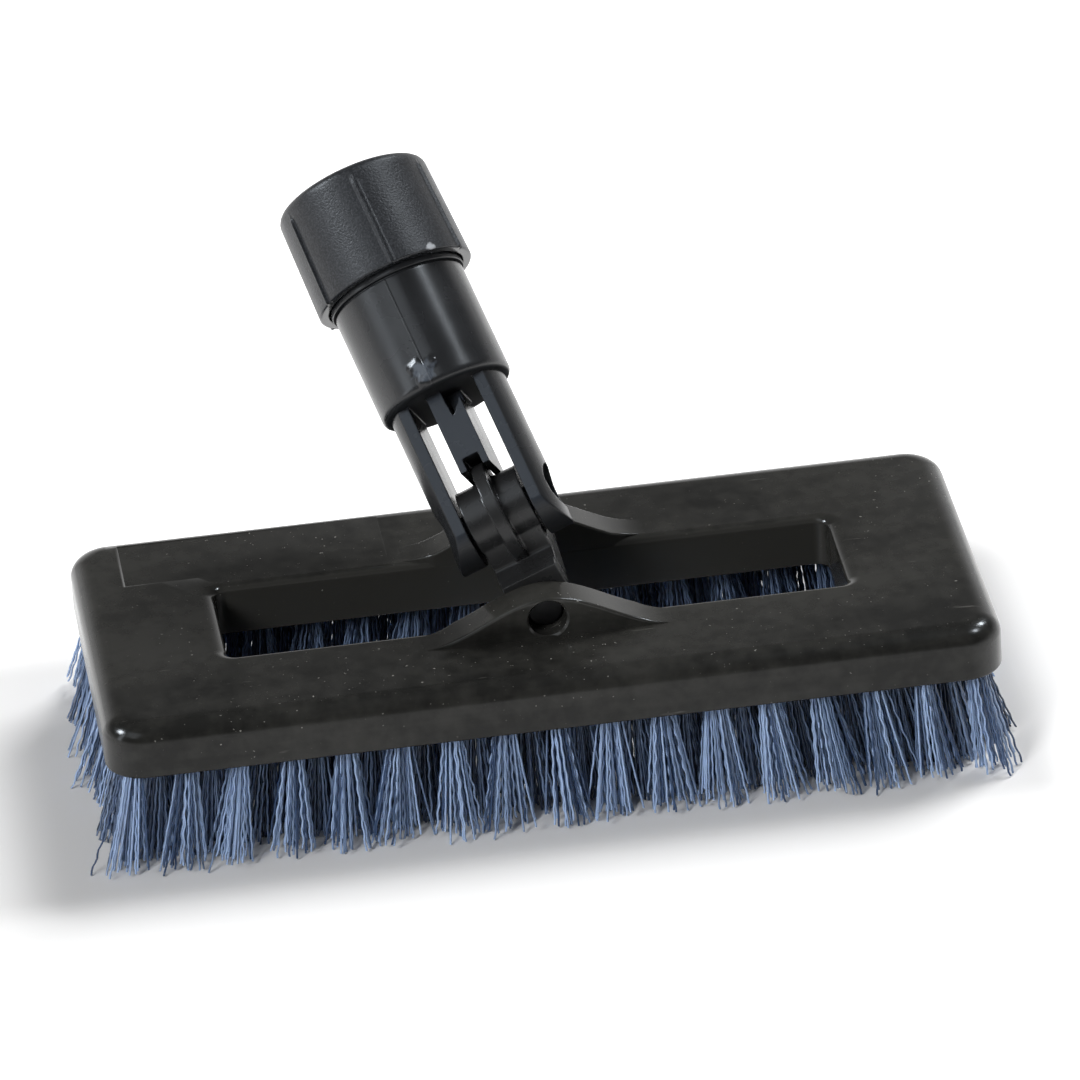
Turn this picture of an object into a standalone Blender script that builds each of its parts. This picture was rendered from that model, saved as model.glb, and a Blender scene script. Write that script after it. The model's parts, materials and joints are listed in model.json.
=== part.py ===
"""Floor scrub brush: a bristled block, a two-way swivel and a handle socket with its lock nut.

Metres, +Z up, +X to the right along the block, -Y towards the camera. The bristle tips stand on z = 0.
"""
import math

import bmesh
import bpy
from mathutils import Matrix

MM = 0.001
GAP = 0.3 * MM
OVERRUN = 2.0 * MM
WELD = 0.001 * MM
ROUND_STEPS = 36
CORNER_SEGMENTS = 6
ROUND_SEGMENTS = 4
ARC_SEGMENTS = 12
ROUND_PROFILE = 0.5
TUFT_SIDES = 6
HEXAGON_FLAT_SHARE = math.cos(math.pi / TUFT_SIDES)

# The block: a frame of two long bars and two short ends round an open window
BLOCK_LENGTH = 203.0 * MM
BLOCK_WIDTH = 90.0 * MM
BLOCK_THICKNESS = 12.5 * MM
BLOCK_CORNER = 9.0 * MM
BLOCK_TOP_ROUND = 4.5 * MM
BLOCK_BOTTOM_ROUND = 0.8 * MM
END_BAR = 27.75 * MM
WINDOW_LENGTH = BLOCK_LENGTH - 2 * END_BAR
WINDOW_WIDTH = 31.8 * MM
WINDOW_CORNER = 2.5 * MM
PANEL_DEPTH = 0.35 * MM
PANEL_LENGTH = 60.0 * MM
PANEL_FROM_WINDOW = 5.7 * MM
PANEL_FROM_END = 11.5 * MM

# The bristles: one staggered field of tufts, its outermost ones this far in from the block's edges
TRIM = 24.5 * MM
TUFT_RADIUS = 2.2 * MM
HOLE_DEPTH = 8.5 * MM
HOLE_RADIUS = TUFT_RADIUS + GAP
TUFTS_ALONG = 17
TUFT_ROWS_ACROSS = 7
TUFT_FROM_END = 6.3 * MM
TUFT_FROM_SIDE = 6.6 * MM
TUFT_PITCH_X = (BLOCK_LENGTH - 2 * TUFT_FROM_END) / (TUFTS_ALONG - 1)
TUFT_PITCH_Y = (BLOCK_WIDTH - 2 * TUFT_FROM_SIDE) / (TUFT_ROWS_ACROSS - 1)
# Each row, outermost first: how far its tips lean out and half their width across, as shares of the pitch
BAR_ROW_SHARES = (("outer", 0.36, 0.429), ("middle", 0.19, 0.429), ("inner", 0.06, 0.336))
END_ROW_SHARES = (("outer", 0.44, 0.42), ("middle", 0.27, 0.42), ("inner", 0.14, 0.36))
END_ROW_TUFTS = (3, 4, 3)
BAR_SPREAD_SHARE = 1.045
END_SPREAD_SHARES = (0.92, 0.88, 0.92)
MERGE_SHARE = 0.76

# The swivel: the lower pin runs along Y through the lugs, the upper one along the knuckle's own X
PIVOT_ABOVE_TOP = 4.4 * MM
PIVOT_ALONG_BLOCK = 1.0 * MM
AXIS_SPACING = 16.5 * MM
TILT_AT_REST = math.radians(23.0)
LEAN_AT_REST = math.radians(45.0)
TILT_PIN_RADIUS = 4.05 * MM
TILT_PIN_RECESS = 4.5 * MM
LEAN_PIN_RADIUS = 3.0 * MM
LEAN_PIN_PROUD = 0.8 * MM

# The two lugs that carry the lower pin
LUG_HALF_LENGTH = 27.5 * MM
LUG_WALL = 0.95 * MM
LUG_RISE = PIVOT_ABOVE_TOP + TILT_PIN_RADIUS + GAP + LUG_WALL
LUG_THICKNESS = 8.5 * MM
LUG_SINK = 5.0 * MM
LUG_OUTLINE_SHARES = (
    (1.0, 0.0),
    (0.78, 0.11),
    (0.6, 0.39),
    (0.47, 0.6),
    (0.35, 0.79),
    (0.24, 0.9),
    (0.12, 0.98),
)

# The knuckle between the two pins
KNUCKLE_WIDTH = 15.0 * MM
KNUCKLE_FOOT_WALL = 2.35 * MM
KNUCKLE_FOOT_RADIUS = TILT_PIN_RADIUS + GAP + KNUCKLE_FOOT_WALL
KNUCKLE_FOOT_TOP = 7.2 * MM
KNUCKLE_STEM_WIDTH = 14.2 * MM
KNUCKLE_STEM_INSET = 3.1 * MM
KNUCKLE_STEM_OUTLINE_SHARES = ((1.0, 0.0), (1.0, 0.44), (0.78, 0.47), (0.64, 0.54), (0.57, 0.66), (0.57, 1.0))
KNUCKLE_DISC_RADIUS = 8.2 * MM
KNUCKLE_RING_RADIUS = 12.0 * MM
KNUCKLE_RING_WIDTH = 3.0 * MM

# The handle that the socket takes is no part of the brush, but the sizes above the fork follow from it
HANDLE_RADIUS = 12.0 * MM
HANDLE_FIT = 0.1 * MM

# The yoke, in heights above the upper pin: a fork, the handle's socket and a threaded neck
FORK_RADIUS = 14.0 * MM
FORK_HALF_DEPTH = 9.0 * MM
FORK_END_RADIUS = 9.5 * MM
FORK_SIDE_GAP = 0.57 * MM
FORK_BRIDGE = 1.6 * MM
FORK_SIDE_SEGMENTS = 8
WEB_WIDTH = 7.2 * MM
WEB_GAP = 1.4 * MM
NOTCH_SIDE_GAP = 0.4 * MM
NOTCH_TOP_GAP = 0.6 * MM
COUNTERBORE_RADIUS = 5.45 * MM
COUNTERBORE_DEPTH = 2.65 * MM
SOCKET_BOTTOM = 29.2 * MM
SOCKET_FLOOR = 2.3 * MM
SOCKET_LENGTH = 31.8 * MM
SOCKET_TOP = SOCKET_BOTTOM + SOCKET_LENGTH
SOCKET_STEP = 1.05 * MM
HANDLE_BORE_RADIUS = HANDLE_RADIUS + HANDLE_FIT
NECK_LENGTH = 15.0 * MM
NECK_TOP = SOCKET_TOP + NECK_LENGTH
NECK_RIM = 1.0 * MM
MOUTH_DEPTH = 7.0 * MM
MOUTH_STEP = 0.9 * MM
MOUTH_FLARE = 0.7 * MM
MOUTH_BOTTOM = NECK_TOP - MOUTH_DEPTH
MOUTH_BOTTOM_RADIUS = HANDLE_BORE_RADIUS + MOUTH_STEP
MOUTH_TOP_RADIUS = MOUTH_BOTTOM_RADIUS + MOUTH_FLARE
NECK_RADIUS = MOUTH_TOP_RADIUS + NECK_RIM
SOCKET_RADIUS = NECK_RADIUS + SOCKET_STEP
THREAD_PITCH = 3.0 * MM
THREAD_HEIGHT = 0.8 * MM
THREAD_SINK = 0.3 * MM
THREAD_ROOT_WIDTH = 1.5 * MM
THREAD_CREST_WIDTH = 0.7 * MM
THREAD_ABOVE_SOCKET = 5.0 * MM
THREAD_BOTTOM = SOCKET_TOP + THREAD_ABOVE_SOCKET
THREAD_TURNS = 2

# The split collet on the neck, and the lock nut over both
COLLET_FLANGE_HEIGHT = 5.4 * MM
COLLET_FLANGE_GAP = 0.8 * MM
COLLET_SPLIT = 1.6 * MM
NUT_TOP_WALL = 2.5 * MM
NUT_TOP_ROUND = 3.0 * MM
NUT_OVERLAP = 2.6 * MM
NUT_SKIRT_RELIEF = 1.0 * MM
NUT_SKIRT_GAP = 0.9 * MM
NUT_SKIRT_WALL = 2.15 * MM
NUT_TAPER = 0.7 * MM
NUT_THREAD_GAP = 0.45 * MM
NUT_THREAD_TURNS = 4
NUT_BOTTOM = SOCKET_TOP - NUT_OVERLAP
NUT_BORE_RADIUS = NECK_RADIUS + GAP
NUT_RADIUS = SOCKET_RADIUS + NUT_SKIRT_GAP + NUT_SKIRT_WALL
NUT_SHOULDER_RADIUS = NUT_RADIUS - NUT_TAPER - NUT_TOP_ROUND
NUT_RIBS = 6
RIB_WIDTH = 1.2 * MM
RIB_PROUD = 0.7 * MM
RIB_TOP_DROP = 3.5 * MM
RIB_PHASE = math.radians(42.0)
COLLET_BOTTOM = MOUTH_BOTTOM + GAP
COLLET_SEAT = NECK_TOP + GAP
COLLET_TOP = COLLET_SEAT + COLLET_FLANGE_HEIGHT
NUT_CEILING = COLLET_TOP + GAP
NUT_TOP = NUT_CEILING + NUT_TOP_WALL

# The frame's origin is under the middle of the whole brush, whose back end is the nut's rounded rim
FRONT_REACH = BLOCK_WIDTH / 2 - TUFT_FROM_SIDE + sum(BAR_ROW_SHARES[0][1:]) * TUFT_PITCH_Y
BACK_REACH_ALONG = (NUT_TOP - NUT_TOP_ROUND) * math.sin(LEAN_AT_REST)
BACK_REACH_ACROSS = NUT_SHOULDER_RADIUS * math.cos(LEAN_AT_REST)
BLOCK_Y = (FRONT_REACH - BACK_REACH_ALONG - BACK_REACH_ACROSS - NUT_TOP_ROUND) / 2

BLACK_PLASTIC = ((0.020, 0.020, 0.019), 0.32)
SOCKET_PLASTIC = ((0.030, 0.031, 0.034), 0.42)
NUT_PLASTIC = ((0.034, 0.036, 0.042), 0.60)
PIN_STEEL = ((0.05, 0.05, 0.055), 0.40)
COLLET_NYLON = ((0.10, 0.10, 0.10), 0.50)
BLUE_BRISTLE = ((0.075, 0.150, 0.380), 0.55)


def clear_scene():
    for obj in list(bpy.data.objects):
        bpy.data.objects.remove(obj, do_unlink=True)


def collection(name):
    made = bpy.data.collections.new(name)
    bpy.context.scene.collection.children.link(made)
    return made


def seat(name, parent, location, turn=Matrix()):
    """An empty that carries pieces, so that turning it moves all of them about its own origin."""
    empty = bpy.data.objects.new(name, None)
    empty.empty_display_size = BLOCK_THICKNESS
    PARTS.objects.link(empty)
    empty.parent = parent
    empty.matrix_local = Matrix.Translation(location) @ turn
    return empty


def add_object(name, mesh, parent, local=Matrix()):
    obj = bpy.data.objects.new(name, mesh)
    PARTS.objects.link(obj)
    obj.parent = parent
    obj.matrix_local = local
    return obj


def mesh_from(name, bm):
    bmesh.ops.recalc_face_normals(bm, faces=bm.faces)
    mesh = bpy.data.meshes.new(name)
    bm.to_mesh(mesh)
    bm.free()
    return mesh


def paint(obj, look, metallic=0.0):
    colour, roughness = look
    material = bpy.data.materials.new(obj.name)
    material.use_nodes = True
    shader = material.node_tree.nodes["Principled BSDF"]
    shader.inputs["Base Color"].default_value = (*colour, 1.0)
    shader.inputs["Roughness"].default_value = roughness
    shader.inputs["Metallic"].default_value = metallic
    obj.data.materials.clear()
    obj.data.materials.append(material)


def combine(obj, operation, *tools):
    """Adds one Boolean for each tool, and hides the tools among the cutters."""
    for tool in tools:
        PARTS.objects.unlink(tool)
        TOOLS.objects.link(tool)
        tool.hide_render = True
        tool.display_type = "WIRE"
        boolean = obj.modifiers.new(tool.name, "BOOLEAN")
        boolean.operation = operation
        boolean.solver = "EXACT"
        boolean.object = tool


def cylinder(name, radius, low, high, parent, local=Matrix()):
    """A round bar along its local Z, turned half a step to keep its edges off the planes of symmetry."""
    bm = bmesh.new()
    middle = Matrix.Translation((0, 0, (low + high) / 2)) @ Matrix.Rotation(math.pi / ROUND_STEPS, 4, "Z")
    size = {"radius1": radius, "radius2": radius, "depth": high - low, "segments": ROUND_STEPS}
    bmesh.ops.create_cone(bm, cap_ends=True, matrix=middle, **size)
    return add_object(name, mesh_from(name, bm), parent, local)


def add_box(bm, low, high, turn=Matrix()):
    corners = bmesh.ops.create_cube(bm, size=1.0)["verts"]
    bmesh.ops.scale(bm, verts=corners, vec=[b - a for a, b in zip(low, high)])
    bmesh.ops.translate(bm, verts=corners, vec=[(a + b) / 2 for a, b in zip(low, high)])
    bmesh.ops.transform(bm, verts=corners, matrix=turn)


def box(name, low, high, parent):
    bm = bmesh.new()
    add_box(bm, low, high)
    return add_object(name, mesh_from(name, bm), parent)


def converted(obj):
    """The object's evaluated mesh, with the object itself removed."""
    bpy.context.view_layer.update()
    mesh = bpy.data.meshes.new_from_object(obj.evaluated_get(bpy.context.evaluated_depsgraph_get()))
    bpy.data.objects.remove(obj, do_unlink=True)
    return mesh


def plate(name, outline, low, high, parent, local=Matrix()):
    """A flat outline in the XY plane of its local frame, filled and drawn out along Z from low to high."""
    curve = bpy.data.curves.new(name, "CURVE")
    curve.dimensions = "2D"
    curve.fill_mode = "BOTH"
    curve.extrude = (high - low) / 2
    spline = curve.splines.new("POLY")
    spline.points.add(len(outline) - 1)
    for point, (x, y) in zip(spline.points, outline):
        point.co = (x, y, 0, 1)
    spline.use_cyclic_u = True
    bm = bmesh.new()
    bm.from_mesh(converted(add_object(name, curve, None)))
    bmesh.ops.remove_doubles(bm, verts=bm.verts, dist=WELD)
    bmesh.ops.translate(bm, verts=bm.verts, vec=(0, 0, (low + high) / 2))
    return add_object(name, mesh_from(name, bm), parent, local)


def screw(obj, turns=1, rise=0.0):
    turn = obj.modifiers.new("turn", "SCREW")
    turn.steps = turn.render_steps = ROUND_STEPS
    turn.use_merge_vertices = True
    turn.merge_threshold = WELD
    turn.screw_offset = rise
    turn.iterations = turns


def profile_mesh(name, points, closed):
    edges = [(i, i + 1) for i in range(len(points) - 1)] + ([(len(points) - 1, 0)] if closed else [])
    mesh = bpy.data.meshes.new(name)
    mesh.from_pydata([(radius, 0, height) for radius, height in points], edges, [])
    return mesh


def turned(name, profile, parent, closed=False):
    """A profile of (radius, height) points, outer wall downwards, turned about the local Z."""
    obj = add_object(name, profile_mesh(name, profile, closed), parent)
    screw(obj)
    return obj


def thread(name, root, crest, widening, bottom, turns, parent):
    """A ridge that climbs one pitch in each turn to the right, with both of its ends closed."""
    root_width = THREAD_ROOT_WIDTH + widening
    crest_width = THREAD_CREST_WIDTH + widening
    foot = [(root, -root_width / 2), (root, root_width / 2)]
    top = [(crest, crest_width / 2), (crest, -crest_width / 2)]
    seed = add_object(name, profile_mesh(name, foot + top, True), None)
    screw(seed, turns, THREAD_PITCH)
    bm = bmesh.new()
    bm.from_mesh(converted(seed))
    bmesh.ops.holes_fill(bm, edges=[edge for edge in bm.edges if edge.is_boundary])
    return add_object(name, mesh_from(name, bm), parent, Matrix.Translation((0, 0, bottom)))


def round_edges(bm, edges, radius, segments):
    bmesh.ops.bevel(bm, geom=edges, offset=radius, segments=segments, affect="EDGES", profile=ROUND_PROFILE)


def rounded_slab(name, size, base, corner, top_round, bottom_round, parent):
    """A slab of this size from the height base, its upright edges rounded first, then its rims."""
    bm = bmesh.new()
    length, width, height = size
    add_box(bm, (-length / 2, -width / 2, base), (length / 2, width / 2, base + height))
    upright = [e for e in bm.edges if abs(e.verts[0].co.z - e.verts[1].co.z) > height / 2]
    round_edges(bm, upright, corner, CORNER_SEGMENTS)
    for level, radius, segments in ((base + height, top_round, ROUND_SEGMENTS), (base, bottom_round, 1)):
        if radius:
            rim = [e for e in bm.edges if all(abs(v.co.z - level) < WELD for v in e.verts)]
            round_edges(bm, rim, radius, segments)
    return add_object(name, mesh_from(name, bm), parent)


def arc(radius, start, end, steps):
    """Points on an arc about the origin, from one angle in degrees to another, both included."""
    angles = [math.radians(start + (end - start) * i / steps) for i in range(steps + 1)]
    return [(radius * math.cos(a), radius * math.sin(a)) for a in angles]


def bristle_rows():
    """Every row of tufts: name, axis, places along it, tip spread, roots and tips across, half tip width."""
    whole = [TUFT_PITCH_X * (i - (TUFTS_ALONG - 1) / 2) for i in range(TUFTS_ALONG)]
    between = [x + TUFT_PITCH_X / 2 for x in whole[:-1]]
    rows = []
    for side, sign in (("front", -1), ("back", 1)):
        for index, (label, lean_share, half_share) in enumerate(BAR_ROW_SHARES):
            root = BLOCK_WIDTH / 2 - TUFT_FROM_SIDE - index * TUFT_PITCH_Y / 2
            tip = root + lean_share * TUFT_PITCH_Y
            half = half_share * TUFT_PITCH_Y
            places = between if index % 2 else whole
            middle = (len(places) + 1) // 2
            for end, part in (("left", places[:middle]), ("right", places[middle:])):
                name = f"bristles_{side}_{label}_{end}"
                rows.append((name, "X", part, BAR_SPREAD_SHARE, sign * root, sign * tip, half))
    for side, sign in (("left", -1), ("right", 1)):
        for index, (label, lean_share, half_share) in enumerate(END_ROW_SHARES):
            root = BLOCK_LENGTH / 2 - TUFT_FROM_END - index * TUFT_PITCH_X / 2
            tip = root + lean_share * TUFT_PITCH_X
            half = half_share * TUFT_PITCH_X
            count = END_ROW_TUFTS[index]
            places = [TUFT_PITCH_Y * (i - (count - 1) / 2) for i in range(count)]
            spread_share = END_SPREAD_SHARES[index]
            name = f"bristles_{side}_end_{label}"
            rows.append((name, "Y", places, spread_share, sign * root, sign * tip, half))
    return rows


def tuft_section(bm, axis, centre, low, high, across, half_across, height):
    """A tuft's six-sided section: flat towards its neighbours at low and high, pointed across the row."""
    side = half_across / 2
    points = (
        (high, across + side),
        (centre, across + half_across),
        (low, across + side),
        (low, across - side),
        (centre, across - half_across),
        (high, across - side),
    )
    return [bm.verts.new((p, q, height) if axis == "X" else (q, p, height)) for p, q in points]


def row_level(bm, row, height, share):
    """The sections of a row's tufts at one height; share is how far down its free length that is."""
    _, axis, places, spread_share, root_across, tip_across, tip_half = row
    spread = 1 + (spread_share - 1) * share
    across = root_across + (tip_across - root_across) * share
    half_across = TUFT_RADIUS + (tip_half - TUFT_RADIUS) * share
    flat = (places[1] - places[0]) * spread / 2 if share else TUFT_RADIUS * HEXAGON_FLAT_SHARE
    sections = []
    for index, place in enumerate(places):
        low = place * spread - flat + (GAP if share and index == 0 else 0)
        high = place * spread + flat - (GAP if share and place is places[-1] else 0)
        sections.append(tuft_section(bm, axis, place * spread, low, high, across, half_across, height))
    return sections


def bristle_row(row):
    """Tufts that stand apart in their holes, flare, and run into each other near their tips."""
    bm = bmesh.new()
    root_top = HOLE_DEPTH - GAP
    rings = [
        row_level(bm, row, root_top, 0.0),
        row_level(bm, row, 0.0, 0.0),
        row_level(bm, row, -TRIM * MERGE_SHARE, MERGE_SHARE),
        row_level(bm, row, -TRIM, 1.0),
    ]
    for level in rings[2:]:
        for tuft, following in zip(level, level[1:]):
            for mine, theirs in ((0, 2), (5, 3)):
                bm.verts.remove(following[theirs])
                following[theirs] = tuft[mine]
    for upper, lower in zip(rings, rings[1:]):
        for index, (above, below) in enumerate(zip(upper, lower)):
            for side in range(TUFT_SIDES):
                inner = (side == 2 and index > 0) or (side == 5 and index < len(upper) - 1)
                if not (inner and lower is rings[3]):
                    after = (side + 1) % TUFT_SIDES
                    bm.faces.new((above[side], above[after], below[after], below[side]))
    for tuft in rings[0] + rings[3]:
        bm.faces.new(tuft)
    return add_object(row[0], mesh_from(row[0], bm), BLOCK_SEAT)


def tuft_holes():
    """The blind holes of all the tufts as one cutter."""
    flat = HOLE_RADIUS * HEXAGON_FLAT_SHARE
    bm = bmesh.new()
    for _, axis, places, _, across, _, _ in bristle_rows():
        for place in places:
            section = tuft_section(bm, axis, place, place - flat, place + flat, across, HOLE_RADIUS, -OVERRUN)
            raised = bmesh.ops.extrude_face_region(bm, geom=[bm.faces.new(section)])["geom"]
            corners = [v for v in raised if isinstance(v, bmesh.types.BMVert)]
            bmesh.ops.translate(bm, verts=corners, vec=(0, 0, OVERRUN + HOLE_DEPTH))
    return add_object("tuft_holes", mesh_from("tuft_holes", bm), BLOCK_SEAT)


def lug(name, low, high):
    """A bell-shaped lug on the block's top, its foot sunk into the block."""
    right = [(LUG_HALF_LENGTH * x, LUG_RISE * z) for x, z in LUG_OUTLINE_SHARES]
    left = [(-x, z) for x, z in reversed(right)]
    foot = right[1][0]
    outline = [(foot, -LUG_SINK)] + right + [(0.0, LUG_RISE)] + left + [(-foot, -LUG_SINK)]
    local = Matrix.Translation((PIVOT_ALONG_BLOCK, 0, BLOCK_THICKNESS)) @ ALONG_Y
    return plate(name, outline, low, high, BLOCK_SEAT, local)


def build_block():
    size = (BLOCK_LENGTH, BLOCK_WIDTH, BLOCK_THICKNESS)
    rounds = (BLOCK_CORNER, BLOCK_TOP_ROUND, BLOCK_BOTTOM_ROUND)
    block = rounded_slab("brush_block", size, 0, *rounds, BLOCK_SEAT)
    inner = WINDOW_WIDTH / 2
    outer = inner + LUG_THICKNESS
    lugs = (lug("lug_front", inner - OVERRUN, outer), lug("lug_back", -outer, OVERRUN - inner))
    combine(block, "UNION", *lugs)
    window_size = (WINDOW_LENGTH, WINDOW_WIDTH, BLOCK_THICKNESS + LUG_RISE + 2 * OVERRUN)
    window = rounded_slab("window", window_size, -OVERRUN, WINDOW_CORNER, 0, 0, BLOCK_SEAT)
    reach = outer + OVERRUN
    bore = cylinder("lug_bore", TILT_PIN_RADIUS + GAP, -reach, reach, TILT_AXIS, ALONG_Y)
    panel_left = PANEL_FROM_END - BLOCK_LENGTH / 2
    panel_low = (panel_left, inner + PANEL_FROM_WINDOW, BLOCK_THICKNESS - PANEL_DEPTH)
    panel_back = BLOCK_WIDTH / 2 - BLOCK_TOP_ROUND
    panel_high = (panel_left + PANEL_LENGTH, panel_back, BLOCK_THICKNESS + OVERRUN)
    panel = box("panel", panel_low, panel_high, BLOCK_SEAT)
    combine(block, "DIFFERENCE", window, bore, panel, tuft_holes())
    paint(block, BLACK_PLASTIC)
    pin_reach = outer - TILT_PIN_RECESS
    pin = cylinder("tilt_pin", TILT_PIN_RADIUS, -pin_reach, pin_reach, BLOCK_SEAT, TILT_PLACE @ ALONG_Y)
    paint(pin, PIN_STEEL, metallic=1.0)


def build_bristles():
    for row in bristle_rows():
        paint(bristle_row(row), BLUE_BRISTLE)


def knuckle_stem():
    """The waist between the foot and the disc, flared towards the foot in front and behind."""
    reach = WINDOW_WIDTH / 2 - KNUCKLE_STEM_INSET
    front = [(-AXIS_SPACING * z, reach * y) for y, z in KNUCKLE_STEM_OUTLINE_SHARES]
    back = [(x, -y) for x, y in reversed(front)]
    side = KNUCKLE_STEM_WIDTH / 2
    return plate("knuckle_stem", front + back, -side, side, TILT_AXIS, ALONG_X)


def build_knuckle():
    """The cross piece: a foot on the lower pin, and a disc with a guide ring on the upper pin."""
    side = KNUCKLE_FOOT_RADIUS
    foot_reach = WINDOW_WIDTH / 2 - GAP
    foot_outline = arc(side, 0, -180, ARC_SEGMENTS) + [(-side, KNUCKLE_FOOT_TOP), (side, KNUCKLE_FOOT_TOP)]
    knuckle = plate("swivel_knuckle", foot_outline, -foot_reach, foot_reach, TILT_AXIS, ALONG_Y)
    upper = Matrix.Translation((0, 0, AXIS_SPACING)) @ ALONG_X
    half = KNUCKLE_WIDTH / 2
    disc = cylinder("knuckle_disc", KNUCKLE_DISC_RADIUS, -half, half, TILT_AXIS, upper)
    ring_half = KNUCKLE_RING_WIDTH / 2
    ring = cylinder("knuckle_ring", KNUCKLE_RING_RADIUS, -ring_half, ring_half, TILT_AXIS, upper)
    combine(knuckle, "UNION", knuckle_stem(), disc, ring)
    cut = foot_reach + OVERRUN
    lower_bore = cylinder("lower_bore", TILT_PIN_RADIUS + GAP, -cut, cut, TILT_AXIS, ALONG_Y)
    cut = half + OVERRUN
    upper_bore = cylinder("upper_bore", LEAN_PIN_RADIUS + GAP, -cut, cut, TILT_AXIS, upper)
    combine(knuckle, "DIFFERENCE", lower_bore, upper_bore)
    paint(knuckle, BLACK_PLASTIC)


def fork():
    """The round bar cut flat in front and behind, with its lower end rounded about the upper pin."""
    edge = math.degrees(math.asin(FORK_HALF_DEPTH / FORK_RADIUS))
    outline = arc(FORK_RADIUS, -edge, edge, FORK_SIDE_SEGMENTS)
    outline += arc(FORK_RADIUS, 180 - edge, 180 + edge, FORK_SIDE_SEGMENTS)
    bar = plate("handle_yoke", outline, -FORK_END_RADIUS, SOCKET_BOTTOM + SOCKET_FLOOR / 2, LEAN_AXIS)
    reach = FORK_RADIUS + OVERRUN
    tongue = arc(FORK_END_RADIUS, -90, 90, ARC_SEGMENTS)
    tongue += [(-SOCKET_TOP, FORK_END_RADIUS), (-SOCKET_TOP, -FORK_END_RADIUS)]
    combine(bar, "INTERSECT", plate("fork_end", tongue, -reach, reach, LEAN_AXIS, ALONG_X))
    return bar


def fork_opening():
    """The gap between the arms, with the web and its notch for the knuckle's ring left standing."""
    web = WEB_WIDTH / 2
    notch = KNUCKLE_RING_WIDTH / 2 + NOTCH_SIDE_GAP
    notch_top = KNUCKLE_RING_RADIUS + NOTCH_TOP_GAP
    web_bottom = KNUCKLE_DISC_RADIUS + WEB_GAP
    top = SOCKET_BOTTOM - FORK_BRIDGE
    inner = KNUCKLE_WIDTH / 2 + FORK_SIDE_GAP
    right = [(notch, notch_top), (notch, web_bottom), (web, web_bottom), (web, top), (inner, top)]
    right.append((inner, -FORK_END_RADIUS - OVERRUN))
    outline = right + [(-x, z) for x, z in reversed(right)]
    reach = FORK_END_RADIUS + OVERRUN
    return plate("fork_opening", outline, -reach, reach, LEAN_AXIS, ALONG_Y)


def build_yoke():
    yoke = fork()
    profile = (
        (0, SOCKET_BOTTOM + SOCKET_FLOOR),
        (HANDLE_BORE_RADIUS, SOCKET_BOTTOM + SOCKET_FLOOR),
        (HANDLE_BORE_RADIUS, MOUTH_BOTTOM),
        (MOUTH_BOTTOM_RADIUS, MOUTH_BOTTOM),
        (MOUTH_TOP_RADIUS, NECK_TOP),
        (NECK_RADIUS, NECK_TOP),
        (NECK_RADIUS, SOCKET_TOP),
        (SOCKET_RADIUS, SOCKET_TOP),
        (SOCKET_RADIUS, SOCKET_BOTTOM),
        (0, SOCKET_BOTTOM),
    )
    socket = turned("socket", profile, LEAN_AXIS)
    crest = NECK_RADIUS + THREAD_HEIGHT
    root = NECK_RADIUS - THREAD_SINK
    ridge = thread("neck_thread", root, crest, 0, THREAD_BOTTOM, THREAD_TURNS, LEAN_AXIS)
    combine(yoke, "UNION", socket, ridge)
    reach = FORK_RADIUS + OVERRUN
    floor = FORK_RADIUS - COUNTERBORE_DEPTH
    counterbores = [
        cylinder("counterbore_left", COUNTERBORE_RADIUS, -reach, -floor, LEAN_AXIS, ALONG_X),
        cylinder("counterbore_right", COUNTERBORE_RADIUS, floor, reach, LEAN_AXIS, ALONG_X),
    ]
    pin_bore = cylinder("lean_pin_bore", LEAN_PIN_RADIUS + GAP, -reach, reach, LEAN_AXIS, ALONG_X)
    combine(yoke, "DIFFERENCE", fork_opening(), *counterbores, pin_bore)
    paint(yoke, SOCKET_PLASTIC)
    pin_reach = floor + LEAN_PIN_PROUD
    pin = cylinder("lean_pin", LEAN_PIN_RADIUS, -pin_reach, pin_reach, LEAN_AXIS, ALONG_X)
    paint(pin, PIN_STEEL, metallic=1.0)


def nut_ribs():
    bm = bmesh.new()
    low = (-OVERRUN, -RIB_WIDTH / 2, 0)
    high = (RIB_PROUD, RIB_WIDTH / 2, NUT_TOP - RIB_TOP_DROP - NUT_BOTTOM)
    taper = Matrix.Rotation(-math.atan(NUT_TAPER / (NUT_TOP - NUT_BOTTOM)), 4, "Y")
    wall = Matrix.Translation((NUT_RADIUS, 0, NUT_BOTTOM)) @ taper
    for index in range(NUT_RIBS):
        add_box(bm, low, high, Matrix.Rotation(RIB_PHASE + math.tau * index / NUT_RIBS, 4, "Z") @ wall)
    return add_object("nut_ribs", mesh_from("nut_ribs", bm), LEAN_AXIS)


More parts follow.
